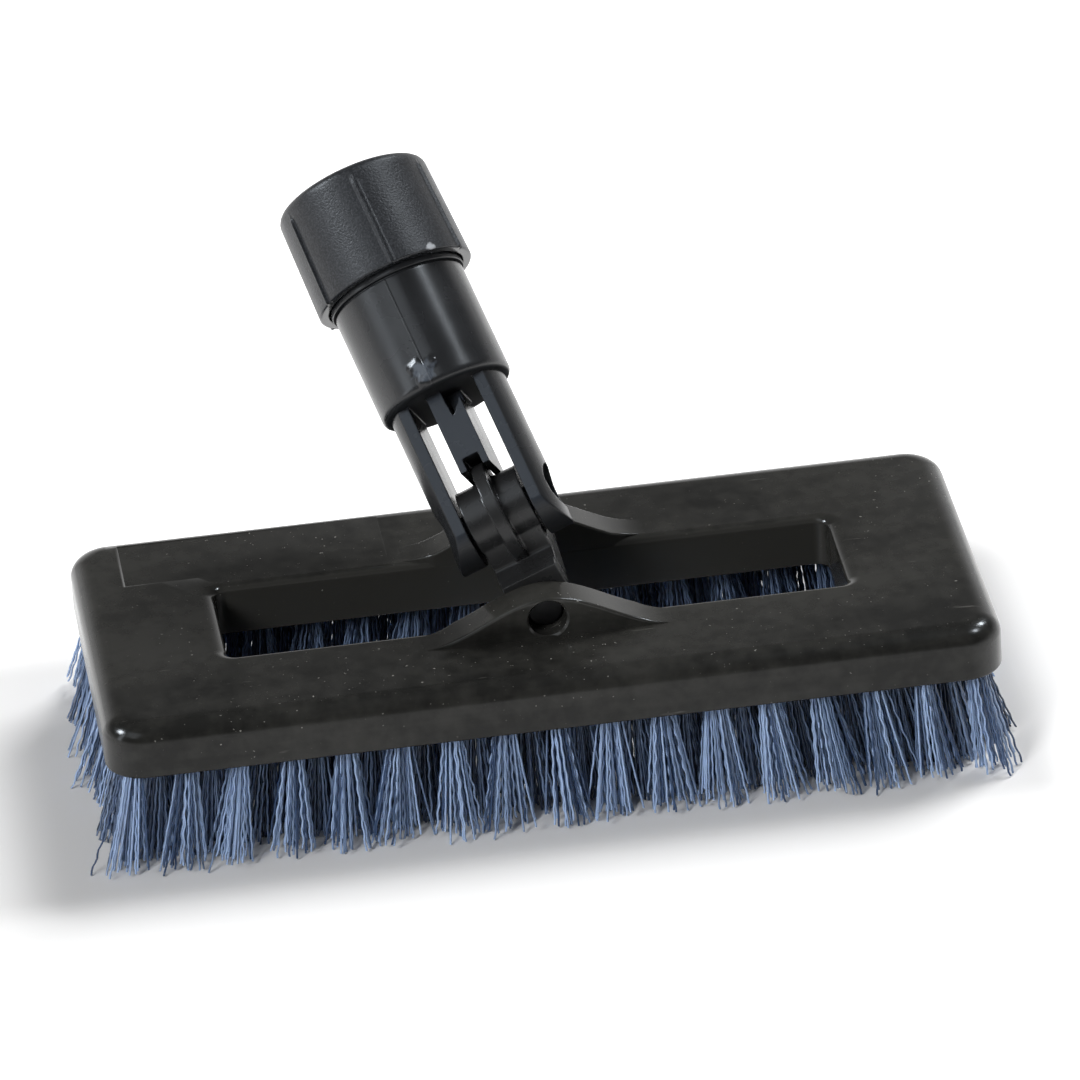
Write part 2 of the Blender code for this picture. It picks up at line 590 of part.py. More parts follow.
def build_nut():
    shoulder = [
        (NUT_SHOULDER_RADIUS + x, NUT_TOP - NUT_TOP_ROUND + z)
        for x, z in arc(NUT_TOP_ROUND, 90, 0, ROUND_SEGMENTS)
    ]
    opening = HANDLE_RADIUS + GAP
    skirt = SOCKET_RADIUS + NUT_SKIRT_GAP
    skirt_top = SOCKET_TOP + NUT_SKIRT_RELIEF
    profile = [(opening, NUT_TOP)] + shoulder + [
        (NUT_RADIUS, NUT_BOTTOM),
        (skirt, NUT_BOTTOM),
        (skirt, skirt_top),
        (NUT_BORE_RADIUS, skirt_top),
        (NUT_BORE_RADIUS, NUT_CEILING),
        (opening, NUT_CEILING),
    ]
    nut = turned("lock_nut", profile, LEAN_AXIS, closed=True)
    combine(nut, "UNION", nut_ribs())
    root = NUT_BORE_RADIUS - THREAD_SINK
    crest = NUT_BORE_RADIUS + THREAD_HEIGHT
    bottom = THREAD_BOTTOM - THREAD_PITCH
    groove = thread("nut_thread", root, crest, 2 * NUT_THREAD_GAP, bottom, NUT_THREAD_TURNS, LEAN_AXIS)
    combine(nut, "DIFFERENCE", groove)
    paint(nut, NUT_PLASTIC)


def build_collet():
    """The split ring that the nut presses onto the handle, its lower sleeve in the neck's flared mouth."""
    flange_radius = NUT_BORE_RADIUS - COLLET_FLANGE_GAP
    profile = (
        (HANDLE_RADIUS, COLLET_TOP),
        (flange_radius, COLLET_TOP),
        (flange_radius, COLLET_SEAT),
        (MOUTH_TOP_RADIUS - GAP, COLLET_SEAT),
        (MOUTH_BOTTOM_RADIUS - GAP, COLLET_BOTTOM),
        (HANDLE_RADIUS, COLLET_BOTTOM),
    )
    collet = turned("grip_collet", profile, LEAN_AXIS, closed=True)
    low = (-COLLET_SPLIT / 2, 0, COLLET_BOTTOM - OVERRUN)
    high = (COLLET_SPLIT / 2, flange_radius + OVERRUN, COLLET_TOP + OVERRUN)
    combine(collet, "DIFFERENCE", box("collet_split", low, high, LEAN_AXIS))
    paint(collet, COLLET_NYLON)


ALONG_X = Matrix.Rotation(math.pi / 2, 4, "Y")
ALONG_Y = Matrix.Rotation(math.pi / 2, 4, "X")
TILT_PLACE = Matrix.Translation((PIVOT_ALONG_BLOCK, 0, BLOCK_THICKNESS + PIVOT_ABOVE_TOP))

clear_scene()
PARTS = collection("floor_scrub_brush")
TOOLS = collection("cutters")
BLOCK_SEAT = seat("block_seat", None, (0, BLOCK_Y, TRIM))
TILT_AXIS = seat("tilt_axis", BLOCK_SEAT, TILT_PLACE.translation, Matrix.Rotation(-TILT_AT_REST, 4, "Y"))
LEAN_AXIS = seat("lean_axis", TILT_AXIS, (0, 0, AXIS_SPACING), Matrix.Rotation(-LEAN_AT_REST, 4, "X"))
build_block()
build_bristles()
build_knuckle()
build_yoke()
build_nut()
build_collet()
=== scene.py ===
"""Looks of the floor scrub brush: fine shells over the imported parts, filaments, materials, light and camera.

Metres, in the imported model's frame: +X to the right along the block, +Y to the back, +Z up, and the floor at
z = 0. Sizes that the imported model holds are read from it, and the others repeat the part's named sizes.
"""
import json
import math
import random

import bmesh
import bpy
from mathutils import Matrix, Vector


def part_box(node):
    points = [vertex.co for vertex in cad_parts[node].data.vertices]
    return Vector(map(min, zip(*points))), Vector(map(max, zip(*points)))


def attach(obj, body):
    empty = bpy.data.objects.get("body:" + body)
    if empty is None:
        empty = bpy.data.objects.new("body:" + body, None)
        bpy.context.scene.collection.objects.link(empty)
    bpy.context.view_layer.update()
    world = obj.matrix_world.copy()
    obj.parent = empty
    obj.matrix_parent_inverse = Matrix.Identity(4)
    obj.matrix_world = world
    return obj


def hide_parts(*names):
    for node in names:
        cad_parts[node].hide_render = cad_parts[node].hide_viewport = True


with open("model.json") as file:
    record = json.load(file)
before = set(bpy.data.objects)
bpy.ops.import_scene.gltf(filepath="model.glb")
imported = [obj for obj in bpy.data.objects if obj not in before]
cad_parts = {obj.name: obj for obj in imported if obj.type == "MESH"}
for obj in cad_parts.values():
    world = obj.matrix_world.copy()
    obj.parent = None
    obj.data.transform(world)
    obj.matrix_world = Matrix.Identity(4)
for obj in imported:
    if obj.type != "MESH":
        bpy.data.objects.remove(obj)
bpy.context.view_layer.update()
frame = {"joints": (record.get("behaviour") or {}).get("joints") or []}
JOINTS = {joint["name"]: joint for joint in frame["joints"]}

MM = 0.001
FULL_TURN = 360
SEED = 11
FILLET_STEPS = 5
ARC_STEPS = 48
WELD = 1e-7
# Turned shapes: rings all round, the degrees between them, and the least of them beside a further ring
TURN_SIDES = 120
TURN_STEP = FULL_TURN / TURN_SIDES
TURN_LEAST = 0.08
# Edges sharper than this stay sharp: on the block and the pins, and on the turned shells
EDGE_ANGLE = 35.0
TURNED_EDGE_ANGLE = 50.0
# Turns that lay a shape's Z along X and along Y
ALONG_X = Matrix.Rotation(math.pi / 2, 4, "Y")
ALONG_Y = Matrix.Rotation(math.pi / 2, 4, "X")

# The block, from its packed box, and its finer edges
BLOCK_LOW, BLOCK_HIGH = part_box("brush_block")
BLOCK_LENGTH = BLOCK_HIGH.x - BLOCK_LOW.x
BLOCK_WIDTH = BLOCK_HIGH.y - BLOCK_LOW.y
BLOCK_Y = (BLOCK_LOW.y + BLOCK_HIGH.y) / 2
TRIM = BLOCK_LOW.z
BLOCK_THICKNESS = 12.5 * MM
BLOCK_TOP = TRIM + BLOCK_THICKNESS
BLOCK_CORNER = 9.0 * MM
BLOCK_TOP_ROUND = 4.5 * MM
BLOCK_TOP_EASE = 5.6 * MM
BLOCK_BOTTOM_ROUND = 0.8 * MM
CORNER_STEPS = 12
RIM_STEPS = 8
END_BAR = 27.75 * MM
WINDOW_END_INSET = 3.0 * MM
WINDOW_LENGTH = BLOCK_LENGTH - 2 * (END_BAR + WINDOW_END_INSET)
WINDOW_WIDTH = 31.8 * MM
WINDOW_CORNER = 3.2 * MM
WINDOW_RIM = 1.8 * MM
WINDOW_END_RIM = 3.4 * MM
WINDOW_LOWER_RIM = 0.6 * MM
PANEL_DEPTH = 0.35 * MM
PANEL_LENGTH = 60.0 * MM
PANEL_FROM_WINDOW = 5.7 * MM
PANEL_FROM_END = 11.5 * MM
PANEL_RISE_SHARE = 0.75
# The panel's lip, from its floor up past the top: depth and outward growth as shares of its depth
PANEL_LIP_SHARES = ((1.0, 0.0), (0.55, 0.25), (0.22, 0.8), (0.05, 1.7), (-0.04, 2.6), (-6.0, 3.0))
OVERRUN = 2.0 * MM

# The swivel's axes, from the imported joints
TILT_PLACE = Vector(JOINTS["swivel_tilt"]["pos_m"])
LEAN_PLACE = Vector(JOINTS["swivel_lean"]["pos_m"])
ACROSS_FORK = -Vector(JOINTS["swivel_lean"]["axis"])
UP_KNUCKLE = (LEAN_PLACE - TILT_PLACE).normalized()
UP_HANDLE = Vector(JOINTS["collet_slide"]["axis"])
AXIS_SPACING = (LEAN_PLACE - TILT_PLACE).length
PIVOT_HEIGHT = TILT_PLACE.z - BLOCK_TOP
GAP = 0.3 * MM
TILT_PIN_RADIUS = 4.05 * MM
TILT_PIN_RECESS = 4.5 * MM
LEAN_PIN_RADIUS = 3.0 * MM
LEAN_PIN_PROUD = 0.8 * MM
PIN_EDGE = 0.5 * MM

# The lugs: bells on the block's top, with soft edges
LUG_HALF_LENGTH = 29.5 * MM
LUG_WALL = 0.95 * MM
LUG_RISE = PIVOT_HEIGHT + TILT_PIN_RADIUS + GAP + LUG_WALL
LUG_THICKNESS = 8.5 * MM
LUG_BELL_POWER = 0.965
LUG_STATIONS = 80
LUG_FRONT_EDGE = 0.7 * MM
LUG_INNER_EDGE = 0.5 * MM
LUG_SINK = 2.6 * MM
LUG_INSET = 0.05 * MM
BORE_CHAMFER = 0.5 * MM

# The knuckle and the fork of the yoke, both finished from small cells
CELL = 0.2 * MM
SOFTENING = 6
KEPT_SHARE = 0.3
KNUCKLE_WIDTH = 15.0 * MM
KNUCKLE_FOOT_RADIUS = TILT_PIN_RADIUS + GAP + 2.35 * MM
KNUCKLE_FOOT_TOP = 7.2 * MM
KNUCKLE_STEM_WIDTH = 14.2 * MM
# The stem's side, up from the lower pin: places along that pin and above it, and the rounding there
KNUCKLE_STEM_CORNERS = ((12.8, 0.0, 0.0), (12.8, 7.2, 0.5), (8.0, 7.5, 0.8), (7.5, 16.5, 0.0))
KNUCKLE_DISC_RADIUS = 8.2 * MM
KNUCKLE_RING_RADIUS = 12.0 * MM
KNUCKLE_RING_WIDTH = 3.0 * MM
FORK_RADIUS = 14.0 * MM
FORK_HALF_DEPTH = 9.0 * MM
FORK_END_RADIUS = 9.5 * MM
FORK_SIDE_GAP = 0.57 * MM
WEB_WIDTH = 7.2 * MM
WEB_GAP = 1.4 * MM
NOTCH_SIDE_GAP = 0.4 * MM
NOTCH_TOP_GAP = 0.6 * MM
COUNTERBORE_RADIUS = 5.45 * MM
COUNTERBORE_DEPTH = 2.65 * MM
# The pocket at the top of the web's front, as places across and along the fork
POCKET = ((0.0, 31.0), (0.3, 22.5), (4.2, 27.0), (4.2, 31.0))
POCKET_DEPTH = 6.0 * MM

# The socket, in heights above the upper pin
HANDLE_RADIUS = 12.0 * MM
SOCKET_BOTTOM = 29.2 * MM
SOCKET_FLOOR = 31.5 * MM
SOCKET_TOP = 61.0 * MM
SOCKET_RADIUS = 15.75 * MM
SOCKET_EDGE = 1.5 * MM
COLLAR_BOTTOM = 57.1 * MM
COLLAR_RADIUS = 16.25 * MM
COLLAR_GROOVE = 0.35 * MM
NECK_RADIUS = 14.7 * MM
NECK_TOP = 76.0 * MM
MOUTH_BOTTOM = 69.0 * MM
MOUTH_BOTTOM_RADIUS = 13.0 * MM
MOUTH_TOP_RADIUS = 13.7 * MM
BORE_RADIUS = 12.1 * MM
SEAM_ANGLES = (90.0, 270.0)
SEAM_HEIGHT = 0.14 * MM
SEAM_HALF_TURN = 1.0
SEAM_OFFSETS = (-1.6, -1.0, -0.4, 0, 0.4, 1.0, 1.6)
SMEAR_ANGLE = 267.0
SMEAR_HEIGHT = 33.6 * MM
SMEAR_HALF_TURN = 10.5
SMEAR_HALF_HEIGHT = 3.0 * MM
SMEAR_RISE = 0.35 * MM
SMEAR_STEEPNESS = 4
SMEAR_REACH = 2.8 * MM
SMEAR_OFFSETS = range(-14, 15)
# The waves of the smear's edge: size, number and phase
SMEAR_WAVES = ((0.3, 3, 0.8), (0.2, 5, 0.0))
SOCKET_WALL_DEPTH = 1.0 * MM
SOCKET_PROFILE_STEP = 0.6 * MM

# The lock nut and its ribs
NUT_RADIUS = 18.8 * MM
NUT_TAPER = 0.7 * MM
NUT_BOTTOM = 58.4 * MM
NUT_TOP = 84.5 * MM
NUT_TOP_ROUND = 2.2 * MM
NUT_CEILING = 82.0 * MM
NUT_OPENING = 12.3 * MM
NUT_SKIRT = 16.65 * MM
NUT_SKIRT_TOP = 62.0 * MM
NUT_BORE_RADIUS = 15.0 * MM
NUT_EDGE = 0.5 * MM
NUT_LIP = 0.5 * MM
NUT_PROFILE_STEP = 1.2 * MM
# Where the pale spot of painted glint for the nick sits, and its reach
NICK_ANGLE = 312.0
NICK_HEIGHT = 59.2 * MM
NICK_REACH = 1.1 * MM
NUT_RIBS = 6
RIB_PHASE = 42.0
RIB_PROUD = 0.5 * MM
RIB_TOP = 81.0 * MM
RIB_FADE = 1.2 * MM
# Across a rib, as shares of its height: places in millimetres from its middle, and how proud it stands there
RIB_RIDGE_SHARES = ((-1.15, 0.0), (-1.0, 0.05), (-0.5, 0.9), (-0.35, 1.0), (-0.2, 0.9))
RIB_GROOVE_SHARES = ((0.0, -0.3), (0.1, -0.5), (0.5, -0.5), (0.8, 0.0))
RIB_SHARES = RIB_RIDGE_SHARES + RIB_GROOVE_SHARES

# The collet inside the nut
COLLET_BOTTOM = 69.3 * MM
COLLET_SEAT = 76.3 * MM
COLLET_TOP = 81.7 * MM
COLLET_FLANGE = 14.2 * MM
COLLET_SPLIT_TURN = 3.5
SMALL_EDGE = 0.3 * MM

# The bristles: one staggered field of tufts, as in the part
TUFT_RADIUS = 2.2 * MM
TUFTS_ALONG = 17
TUFT_ROWS_ACROSS = 7
TUFT_FROM_END = 6.3 * MM
TUFT_FROM_SIDE = 6.6 * MM
TUFT_PITCH_X = (BLOCK_LENGTH - 2 * TUFT_FROM_END) / (TUFTS_ALONG - 1)
TUFT_PITCH_Y = (BLOCK_WIDTH - 2 * TUFT_FROM_SIDE) / (TUFT_ROWS_ACROSS - 1)
BAR_ROW_SHARES = (("outer", 0.36, 0.429), ("middle", 0.19, 0.429), ("inner", 0.06, 0.336))
END_ROW_SHARES = (("outer", 0.44, 0.42), ("middle", 0.27, 0.42), ("inner", 0.14, 0.36))
END_ROW_TUFTS = (3, 4, 3)
BAR_SPREAD_SHARE = 1.045
END_SPREAD_SHARES = (0.92, 0.88, 0.92)
# For the outer rows and for the rows inside them: filaments in a tuft, share of the flare, and tip raggedness
OUTER_ROW = (38, 0.92, 1.5 * MM)
INSIDE_ROW = (66, 1.0, 0.5 * MM)
FILAMENT_RADIUS = 0.24 * MM
FILAMENT_SIDES = 4
FILAMENT_STEPS = 28
FILAMENT_ROOT = 2.0 * MM
CRIMP_PERIOD = 4.0 * MM
CRIMP_DEPTH = 0.17 * MM
CRIMP_PERIOD_SHARES = (0.88, 1.14)
CRIMP_DEPTH_SHARES = (0.6, 1.3)
CRIMP_ONSET = 5
CRIMP_STRAY = 1.0
FLARE_POWER = 1.15
TUFT_WANDER = 1.3 * MM
TIP_SCATTER = 0.55 * MM
TIP_LEAST = 0.25 * MM
STRAY_SHARE = 0.035
STRAY_REACH = 1.55

# The camera, matched to the photograph, with its angles in degrees
CAMERA_AZIMUTH = -6.39
CAMERA_ELEVATION = 28.96
CAMERA_ROLL = -3.58
CAMERA_DISTANCE = 2.084
CAMERA_LENS = 307.3
CAMERA_REACH = 50.0
CAMERA_TARGET = Vector((3.0 * MM, BLOCK_Y, TRIM + 23.8 * MM))

# Light: shares of a plain level of 1, at which a colour renders as it is written
DOME_SHARE = 0.096
WHITE = (1.0, 1.0, 1.0, 1.0)
FLOOR_COLOUR = (0.9, 0.9, 0.9, 1.0)
# The floor's glow, a painted light: none under the bristles, which paints a darker shade round them, the glow
# added behind and to the right, which paints out shadow there, and how each comes in
FLOOR_LIFT = 0.24
FLOOR_LIFT_BEHIND = 0.45
FLOOR_FADE = 14.0 * MM
FLOOR_FADE_LEFT = 60.0 * MM
FLOOR_FADE_BEHIND = 30.0 * MM
FLOOR_FADE_START = 4.0 * MM
# The mirrored horizon's fall, as weights of a direction's x, y and z: it stands a little higher at the back
HORIZON_FALL = (-0.03, -0.12, 1.0)
# The rise over which its brightness falls, and that brightness at either end
HORIZON_RISE = (0.02, 0.4)
HORIZON_SHARES = (1.0, 0.1)
SHEEN_COLOUR = (0.86, 0.93, 1.0)
# Each lamp: name, azimuth from the front, elevation, width and height in degrees, and its share
MATT_LAMPS = (
    ("key_right_back", 132, 48, 24, 24, 0.76),
    ("left", -80, 40, 30, 30, 0.08),
    ("front_fill", -44, 35, 18, 18, 0.56),
)
SHEEN_LAMPS = (
    ("key_sheen", 130, 48, 7, 7, 0.27),
    ("left_sheen", -74, 24, 9, 34, 0.10),
    ("corner_sheen", -93, 43, 13, 13, 0.64),
    ("front_left_sheen", -42, 52, 30, 26, 0.10),
    ("top_right_sheen", 88, 63, 8, 8, 0.24),
)
FLOOR_SIZE = 8.0
LAMP_DISTANCE = 5.0

# Colours as linear red, green and blue: where there are two, the darker and the lighter of a surface
BLOCK_TONES = ((0.0135, 0.0135, 0.0125), (0.0375, 0.0371, 0.034))
DUST = (0.26, 0.255, 0.235)
KNUCKLE_TONES = ((0.017, 0.0175, 0.018), (0.026, 0.0265, 0.0275))
SOCKET_TONES = ((0.013, 0.0138, 0.0152), (0.02, 0.0213, 0.0238))
# The fork's front faces, painted paler and bluer as a painted sheen
FORK_FRONT_SHEEN = (0.034, 0.041, 0.052)
# The smear's pale tone, a painted highlight on its raised flash
SMEAR_HIGHLIGHT = (0.105, 0.125, 0.155)
NUT_TONES = ((0.01, 0.011, 0.013), (0.034, 0.036, 0.042))
# The nick's pale tone, a painted glint
NICK_GLINT = (0.42, 0.44, 0.47)
COLLET_TONES = ((0.06, 0.06, 0.062), (0.1, 0.1, 0.1))
STEEL_TONES = ((0.025, 0.025, 0.027), (0.07, 0.07, 0.072))
OUTER_FIBRE_TONES = ((0.04, 0.075, 0.16), (0.435, 0.588, 0.87))
# The rows inside the outer ones, painted darker as painted shade under the block
SHADED_INSIDE_FIBRE_TONES = ((0.02, 0.033, 0.066), (0.25, 0.35, 0.55))

# Mirror levels of the block, the depth of each surface's fine bumps, and where tones change, painted light
# among them
BLOCK_SPECULAR = 0.38
FRONT_SPECULAR = 0.24
BLOCK_GRAIN = 0.08 * MM
KNUCKLE_GRAIN = 0.06 * MM
SOCKET_GRAIN = 0.03 * MM
NUT_GRAIN = 0.09 * MM
COLLET_GRAIN = 0.03 * MM
# The reach over which the painted light on the block's far wall and on the fork's front comes in
TONE_EDGE = 1.0 * MM
# The rise over which the lugs are painted paler, as painted light
PALE_LUG_RISE = (2.0 * MM, 6.0 * MM)


def having(item, **settings):
    """The item itself, with these settings."""
    for key, value in settings.items():
        setattr(item, key, value)
    return item


def placed(name, data):
    """A new object in the scene."""
    obj = bpy.data.objects.new(name, data)
    bpy.context.scene.collection.objects.link(obj)
    return obj


def meshed(name, bm):
    mesh = bpy.data.meshes.new(name)
    bm.to_mesh(mesh)
    bm.free()
    return placed(name, mesh)


def scratch_object(name, bm, turn=Matrix()):
    """A closed mesh object made from bm, turned into place."""
    bmesh.ops.transform(bm, matrix=turn, verts=bm.verts)
    bmesh.ops.recalc_face_normals(bm, faces=bm.faces)
    return meshed(name, bm)


def frame_at(place, x_axis, z_axis):
    """The matrix that puts a shape at a place, with its X and Z along these axes."""
    turn = Matrix((x_axis, z_axis.cross(x_axis), z_axis)).transposed()
    return Matrix.Translation(place) @ turn.to_4x4()


def turned(angle, radius, height):
    """A place round Z, from its angle in degrees."""
    a = math.radians(angle)
    return Vector((radius * math.cos(a), radius * math.sin(a), height))


def direction(azimuth, elevation):
    """A unit vector, from its angle round from the front to the right and that above the floor."""
    a, e = math.radians(azimuth), math.radians(elevation)
    return Vector((math.sin(a) * math.cos(e), -math.cos(a) * math.cos(e), math.sin(e)))


def arc(radius, start, end, steps):
    """Points on an arc about the origin, from one angle in degrees to another, both included."""
    angles = [math.radians(start + (end - start) * i / steps) for i in range(steps + 1)]
    return [(radius * math.cos(a), radius * math.sin(a)) for a in angles]


def circle(radius, sides):
    return arc(radius, 0, FULL_TURN * (sides - 1) / sides, sides - 1)


def rounding(steps):
    """An edge's rounding as shares of its radius: how far inside its two faces each point lies."""
    angles = [math.radians(90 * i / steps) for i in range(steps + 1)]
    return [(1 - math.sin(a), 1 - math.cos(a)) for a in angles]


def rounded_path(corners, closed):
    """A line through (x, y, radius) corners, with each corner rounded by an arc of its radius."""
    points = []
    last = len(corners) - 1
    for index, (x, y, radius) in enumerate(corners):
        here = Vector((x, y))
        if radius == 0 or (not closed and index in (0, last)):
            points.append((x, y))
            continue
        to_before = (Vector(corners[index - 1][:2]) - here).normalized()
        to_after = (Vector(corners[(index + 1) % len(corners)][:2]) - here).normalized()
        half = to_before.angle(to_after) / 2
        centre = here + (to_before + to_after).normalized() * radius / math.sin(half)
        start = here + to_before * radius / math.tan(half) - centre
        end = here + to_after * radius / math.tan(half) - centre
        sweep = math.pi - 2 * half
        side = 1 if start.x * end.y - start.y * end.x > 0 else -1
        for step in range(FILLET_STEPS + 1):
            angle = side * sweep * step / FILLET_STEPS
            cos, sin = math.cos(angle), math.sin(angle)
            across = centre.x + start.x * cos - start.y * sin
            along = centre.y + start.x * sin + start.y * cos
            points.append((across, along))
    return points


def divided(points, longest):
    """The same line with no stretch longer than this."""
    made = []
    for (x0, y0), (x1, y1) in zip(points, points[1:]):
        parts = max(1, math.ceil(math.hypot(x1 - x0, y1 - y0) / longest))
        made += [(x0 + (x1 - x0) * i / parts, y0 + (y1 - y0) * i / parts) for i in range(parts)]
    return made + [points[-1]]


def skin(name, rings, around, along=False, turn=Matrix()):
    """A mesh over rows of points: around joins each row's ends, and along joins the last row to the first."""
    bm = bmesh.new()
    rows = [[bm.verts.new(point) for point in ring] for ring in rings]
    width = len(rows[0])
    following = rows[1:] + rows[:1] if along else rows[1:]
    for row, after in zip(rows, following):
        for i in range(width if around else width - 1):
            j = (i + 1) % width
            bm.faces.new((row[i], row[j], after[j], after[i]))
    if around and not along:
        bm.faces.new(rows[0])
        bm.faces.new(rows[-1])
    bmesh.ops.remove_doubles(bm, verts=bm.verts, dist=WELD)
    return scratch_object(name, bm, turn)


def turn_steps(extra=()):
    """Angles all round, with further ones near the middles given as (angle, offsets)."""
    angles = {i * TURN_STEP for i in range(TURN_SIDES)}
    for middle, offsets in extra:
        angles |= {round((middle + offset) % FULL_TURN, 4) for offset in offsets}
    kept = []
    for angle in sorted(angles):
        if not kept or angle - kept[-1] > TURN_LEAST:
            kept.append(angle)
    return kept


def revolved(name, profile, angles, closed, turn, relief=None, whole=True):
    """A (radius, height) profile turned about Z; relief(angle, radius, height) raises its outer points."""
    rings = []
    for angle in angles:
        ring = []
        for radius, height in profile:
            reach = radius + (relief(angle, radius, height) if relief else 0)
            ring.append(turned(angle, reach, height))
        rings.append(ring)
    return skin(name, rings, around=closed, along=whole, turn=turn)


def prism(name, outline, low, high, turn=Matrix()):
    """A flat outline in the XY plane, drawn out along Z from low to high, then turned."""
    bm = bmesh.new()
    base = bm.faces.new([bm.verts.new((x, y, low)) for x, y in outline])
    raised = bmesh.ops.extrude_face_region(bm, geom=[base])["geom"]
    top = [v for v in raised if isinstance(v, bmesh.types.BMVert)]
    bmesh.ops.translate(bm, verts=top, vec=(0, 0, high - low))
    return scratch_object(name, bm, turn)


def bar(name, radius, low, high, turn=Matrix()):
    return prism(name, circle(radius, TURN_SIDES), low, high, turn)


def combined(base, operation, tools):
    for tool in tools:
        boolean = base.modifiers.new(tool.name, "BOOLEAN")
        having(boolean, operation=operation, solver="EXACT", object=tool)


def settled(obj, tools=()):
    """Replaces the object's mesh by the one that its modifiers give, and removes the tools."""
    bpy.context.view_layer.update()
    graph = bpy.context.evaluated_depsgraph_get()
    mesh = bpy.data.meshes.new_from_object(obj.evaluated_get(graph))
    obj.modifiers.clear()
    obj.data = mesh
    for tool in tools:
        bpy.data.objects.remove(tool, do_unlink=True)
    return obj


def moulded(base, adds, cuts, turn):
    """Solids added and cut, then remade from small cells, which rounds every edge and corner a little."""
    combined(base, "UNION", adds)
    combined(base, "DIFFERENCE", cuts)
    having(base.modifiers.new("cells", "REMESH"), mode="VOXEL", voxel_size=CELL)
    having(base.modifiers.new("soft", "SMOOTH"), iterations=SOFTENING)
    having(base.modifiers.new("fewer", "DECIMATE"), ratio=KEPT_SHARE)
    settled(base, adds + cuts)
    base.data.transform(turn)
    return base


def joined(name, pieces):
    """One object that holds the meshes of several."""
    bm = bmesh.new()
    for piece in pieces:
        bm.from_mesh(piece.data)
        bpy.data.objects.remove(piece, do_unlink=True)
    return meshed(name, bm)


def smooth(obj, limit=EDGE_ANGLE):
    """Smooth shading that keeps edges sharper than the limit, with flat faces shading flat."""
    obj.data.shade_smooth()
    obj.data.set_sharp_from_angle(angle=math.radians(limit))
    having(obj.modifiers.new("weighted", "WEIGHTED_NORMAL"), keep_sharp=True)
    return obj


def dress(obj, body, material, slot, *nodes):
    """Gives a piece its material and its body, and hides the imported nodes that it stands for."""
    obj.data.materials.clear()
    obj.data.materials.append(material)
    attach(obj, body)
    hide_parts(*nodes)


class Graph:
    """The nodes of a material or of the world, with short calls that add to them."""

    def __init__(self, owner):
        owner.use_nodes = True
        self.tree = owner.node_tree

    def node(self, kind, *sources, **settings):
        """A new node with its settings, and with its first inputs fed from the sources, in their order."""
        made = having(self.tree.nodes.new(kind), **settings)
        for socket, source in zip(made.inputs, sources):
            self.feed(socket, source)
        return made

    def feed(self, socket, source):
        if isinstance(source, bpy.types.NodeSocket):
            self.tree.links.new(source, socket)
        else:
            socket.default_value = source

    def ranged(self, value, given=(0, 1), wanted=(0, 1), **settings):
        """The value taken from the given range to the wanted one, and kept inside it."""
        return self.node("ShaderNodeMapRange", value, *given, *wanted, **settings).outputs["Result"]

    def maths(self, operation, *values):
        return self.node("ShaderNodeMath", *values, operation=operation).outputs[0]

    def total(self, first, *others):
        for other in others:
            first = self.maths("ADD", first, other)
        return first

    def along(self, vector, direction):
        return self.node("ShaderNodeVectorMath", vector, direction, operation="DOT_PRODUCT").outputs["Value"]


class Surface(Graph):
    """A Principled material, with short calls for the textures that feed it."""

    def __init__(self, name, roughness, specular=0.5):
        self.material = bpy.data.materials.new(name)
        super().__init__(self.material)
        self.shader = self.tree.nodes["Principled BSDF"]
        self.give("Roughness", roughness)
        self.give("Specular IOR Level", specular)
        self.place = self.node("ShaderNodeTexCoord").outputs["Object"]

    def give(self, name, source):
        self.feed(self.shader.inputs[name], source)

    def noise(self, scale, detail=2.0, stretch=None):
        """Clouds from 0 to 1: finer with the scale, and with the stretch along X, Y and Z."""
        place = self.place
        if stretch:
            mapping = self.node("ShaderNodeMapping", place)
            mapping.inputs["Scale"].default_value = stretch
            place = mapping.outputs["Vector"]
        made = self.node("ShaderNodeTexNoise", place)
        made.inputs["Scale"].default_value = scale
        made.inputs["Detail"].default_value = detail
        return made.outputs["Fac"]

    def mixed(self, share, first, second):
        made = self.node("ShaderNodeMix", share, data_type="RGBA")
        for socket, colour in zip(made.inputs[6:8], (first, second)):
            self.feed(socket, (*colour, 1.0) if isinstance(colour, tuple) else colour)
        return made.outputs[2]

    def facing(self, direction):
        """How far the surface faces along a direction that is fixed in the object, from -1 to 1."""
        return self.along(self.node("ShaderNodeTexCoord").outputs["Normal"], direction)

    def spot(self, angle, radius, height, reach):
        """A small ragged patch round one place on the handle's socket or nut: 1 inside it and 0 outside."""
        middle = HANDLE_FRAME @ turned(angle, radius, height)
        far = self.node("ShaderNodeVectorMath", self.place, middle, operation="DISTANCE").outputs["Value"]
        ragged = self.maths("MULTIPLY", self.maths("SUBTRACT", self.noise(420), 0.5), 2.4 * reach)
        return self.ranged(self.total(far, ragged), (0.6 * reach, reach), (1, 0))

    def bump(self, height, strength, depth):
        made = self.node("ShaderNodeBump", strength, depth)
        self.feed(made.inputs["Height"], height)
        self.give("Normal", made.outputs["Normal"])


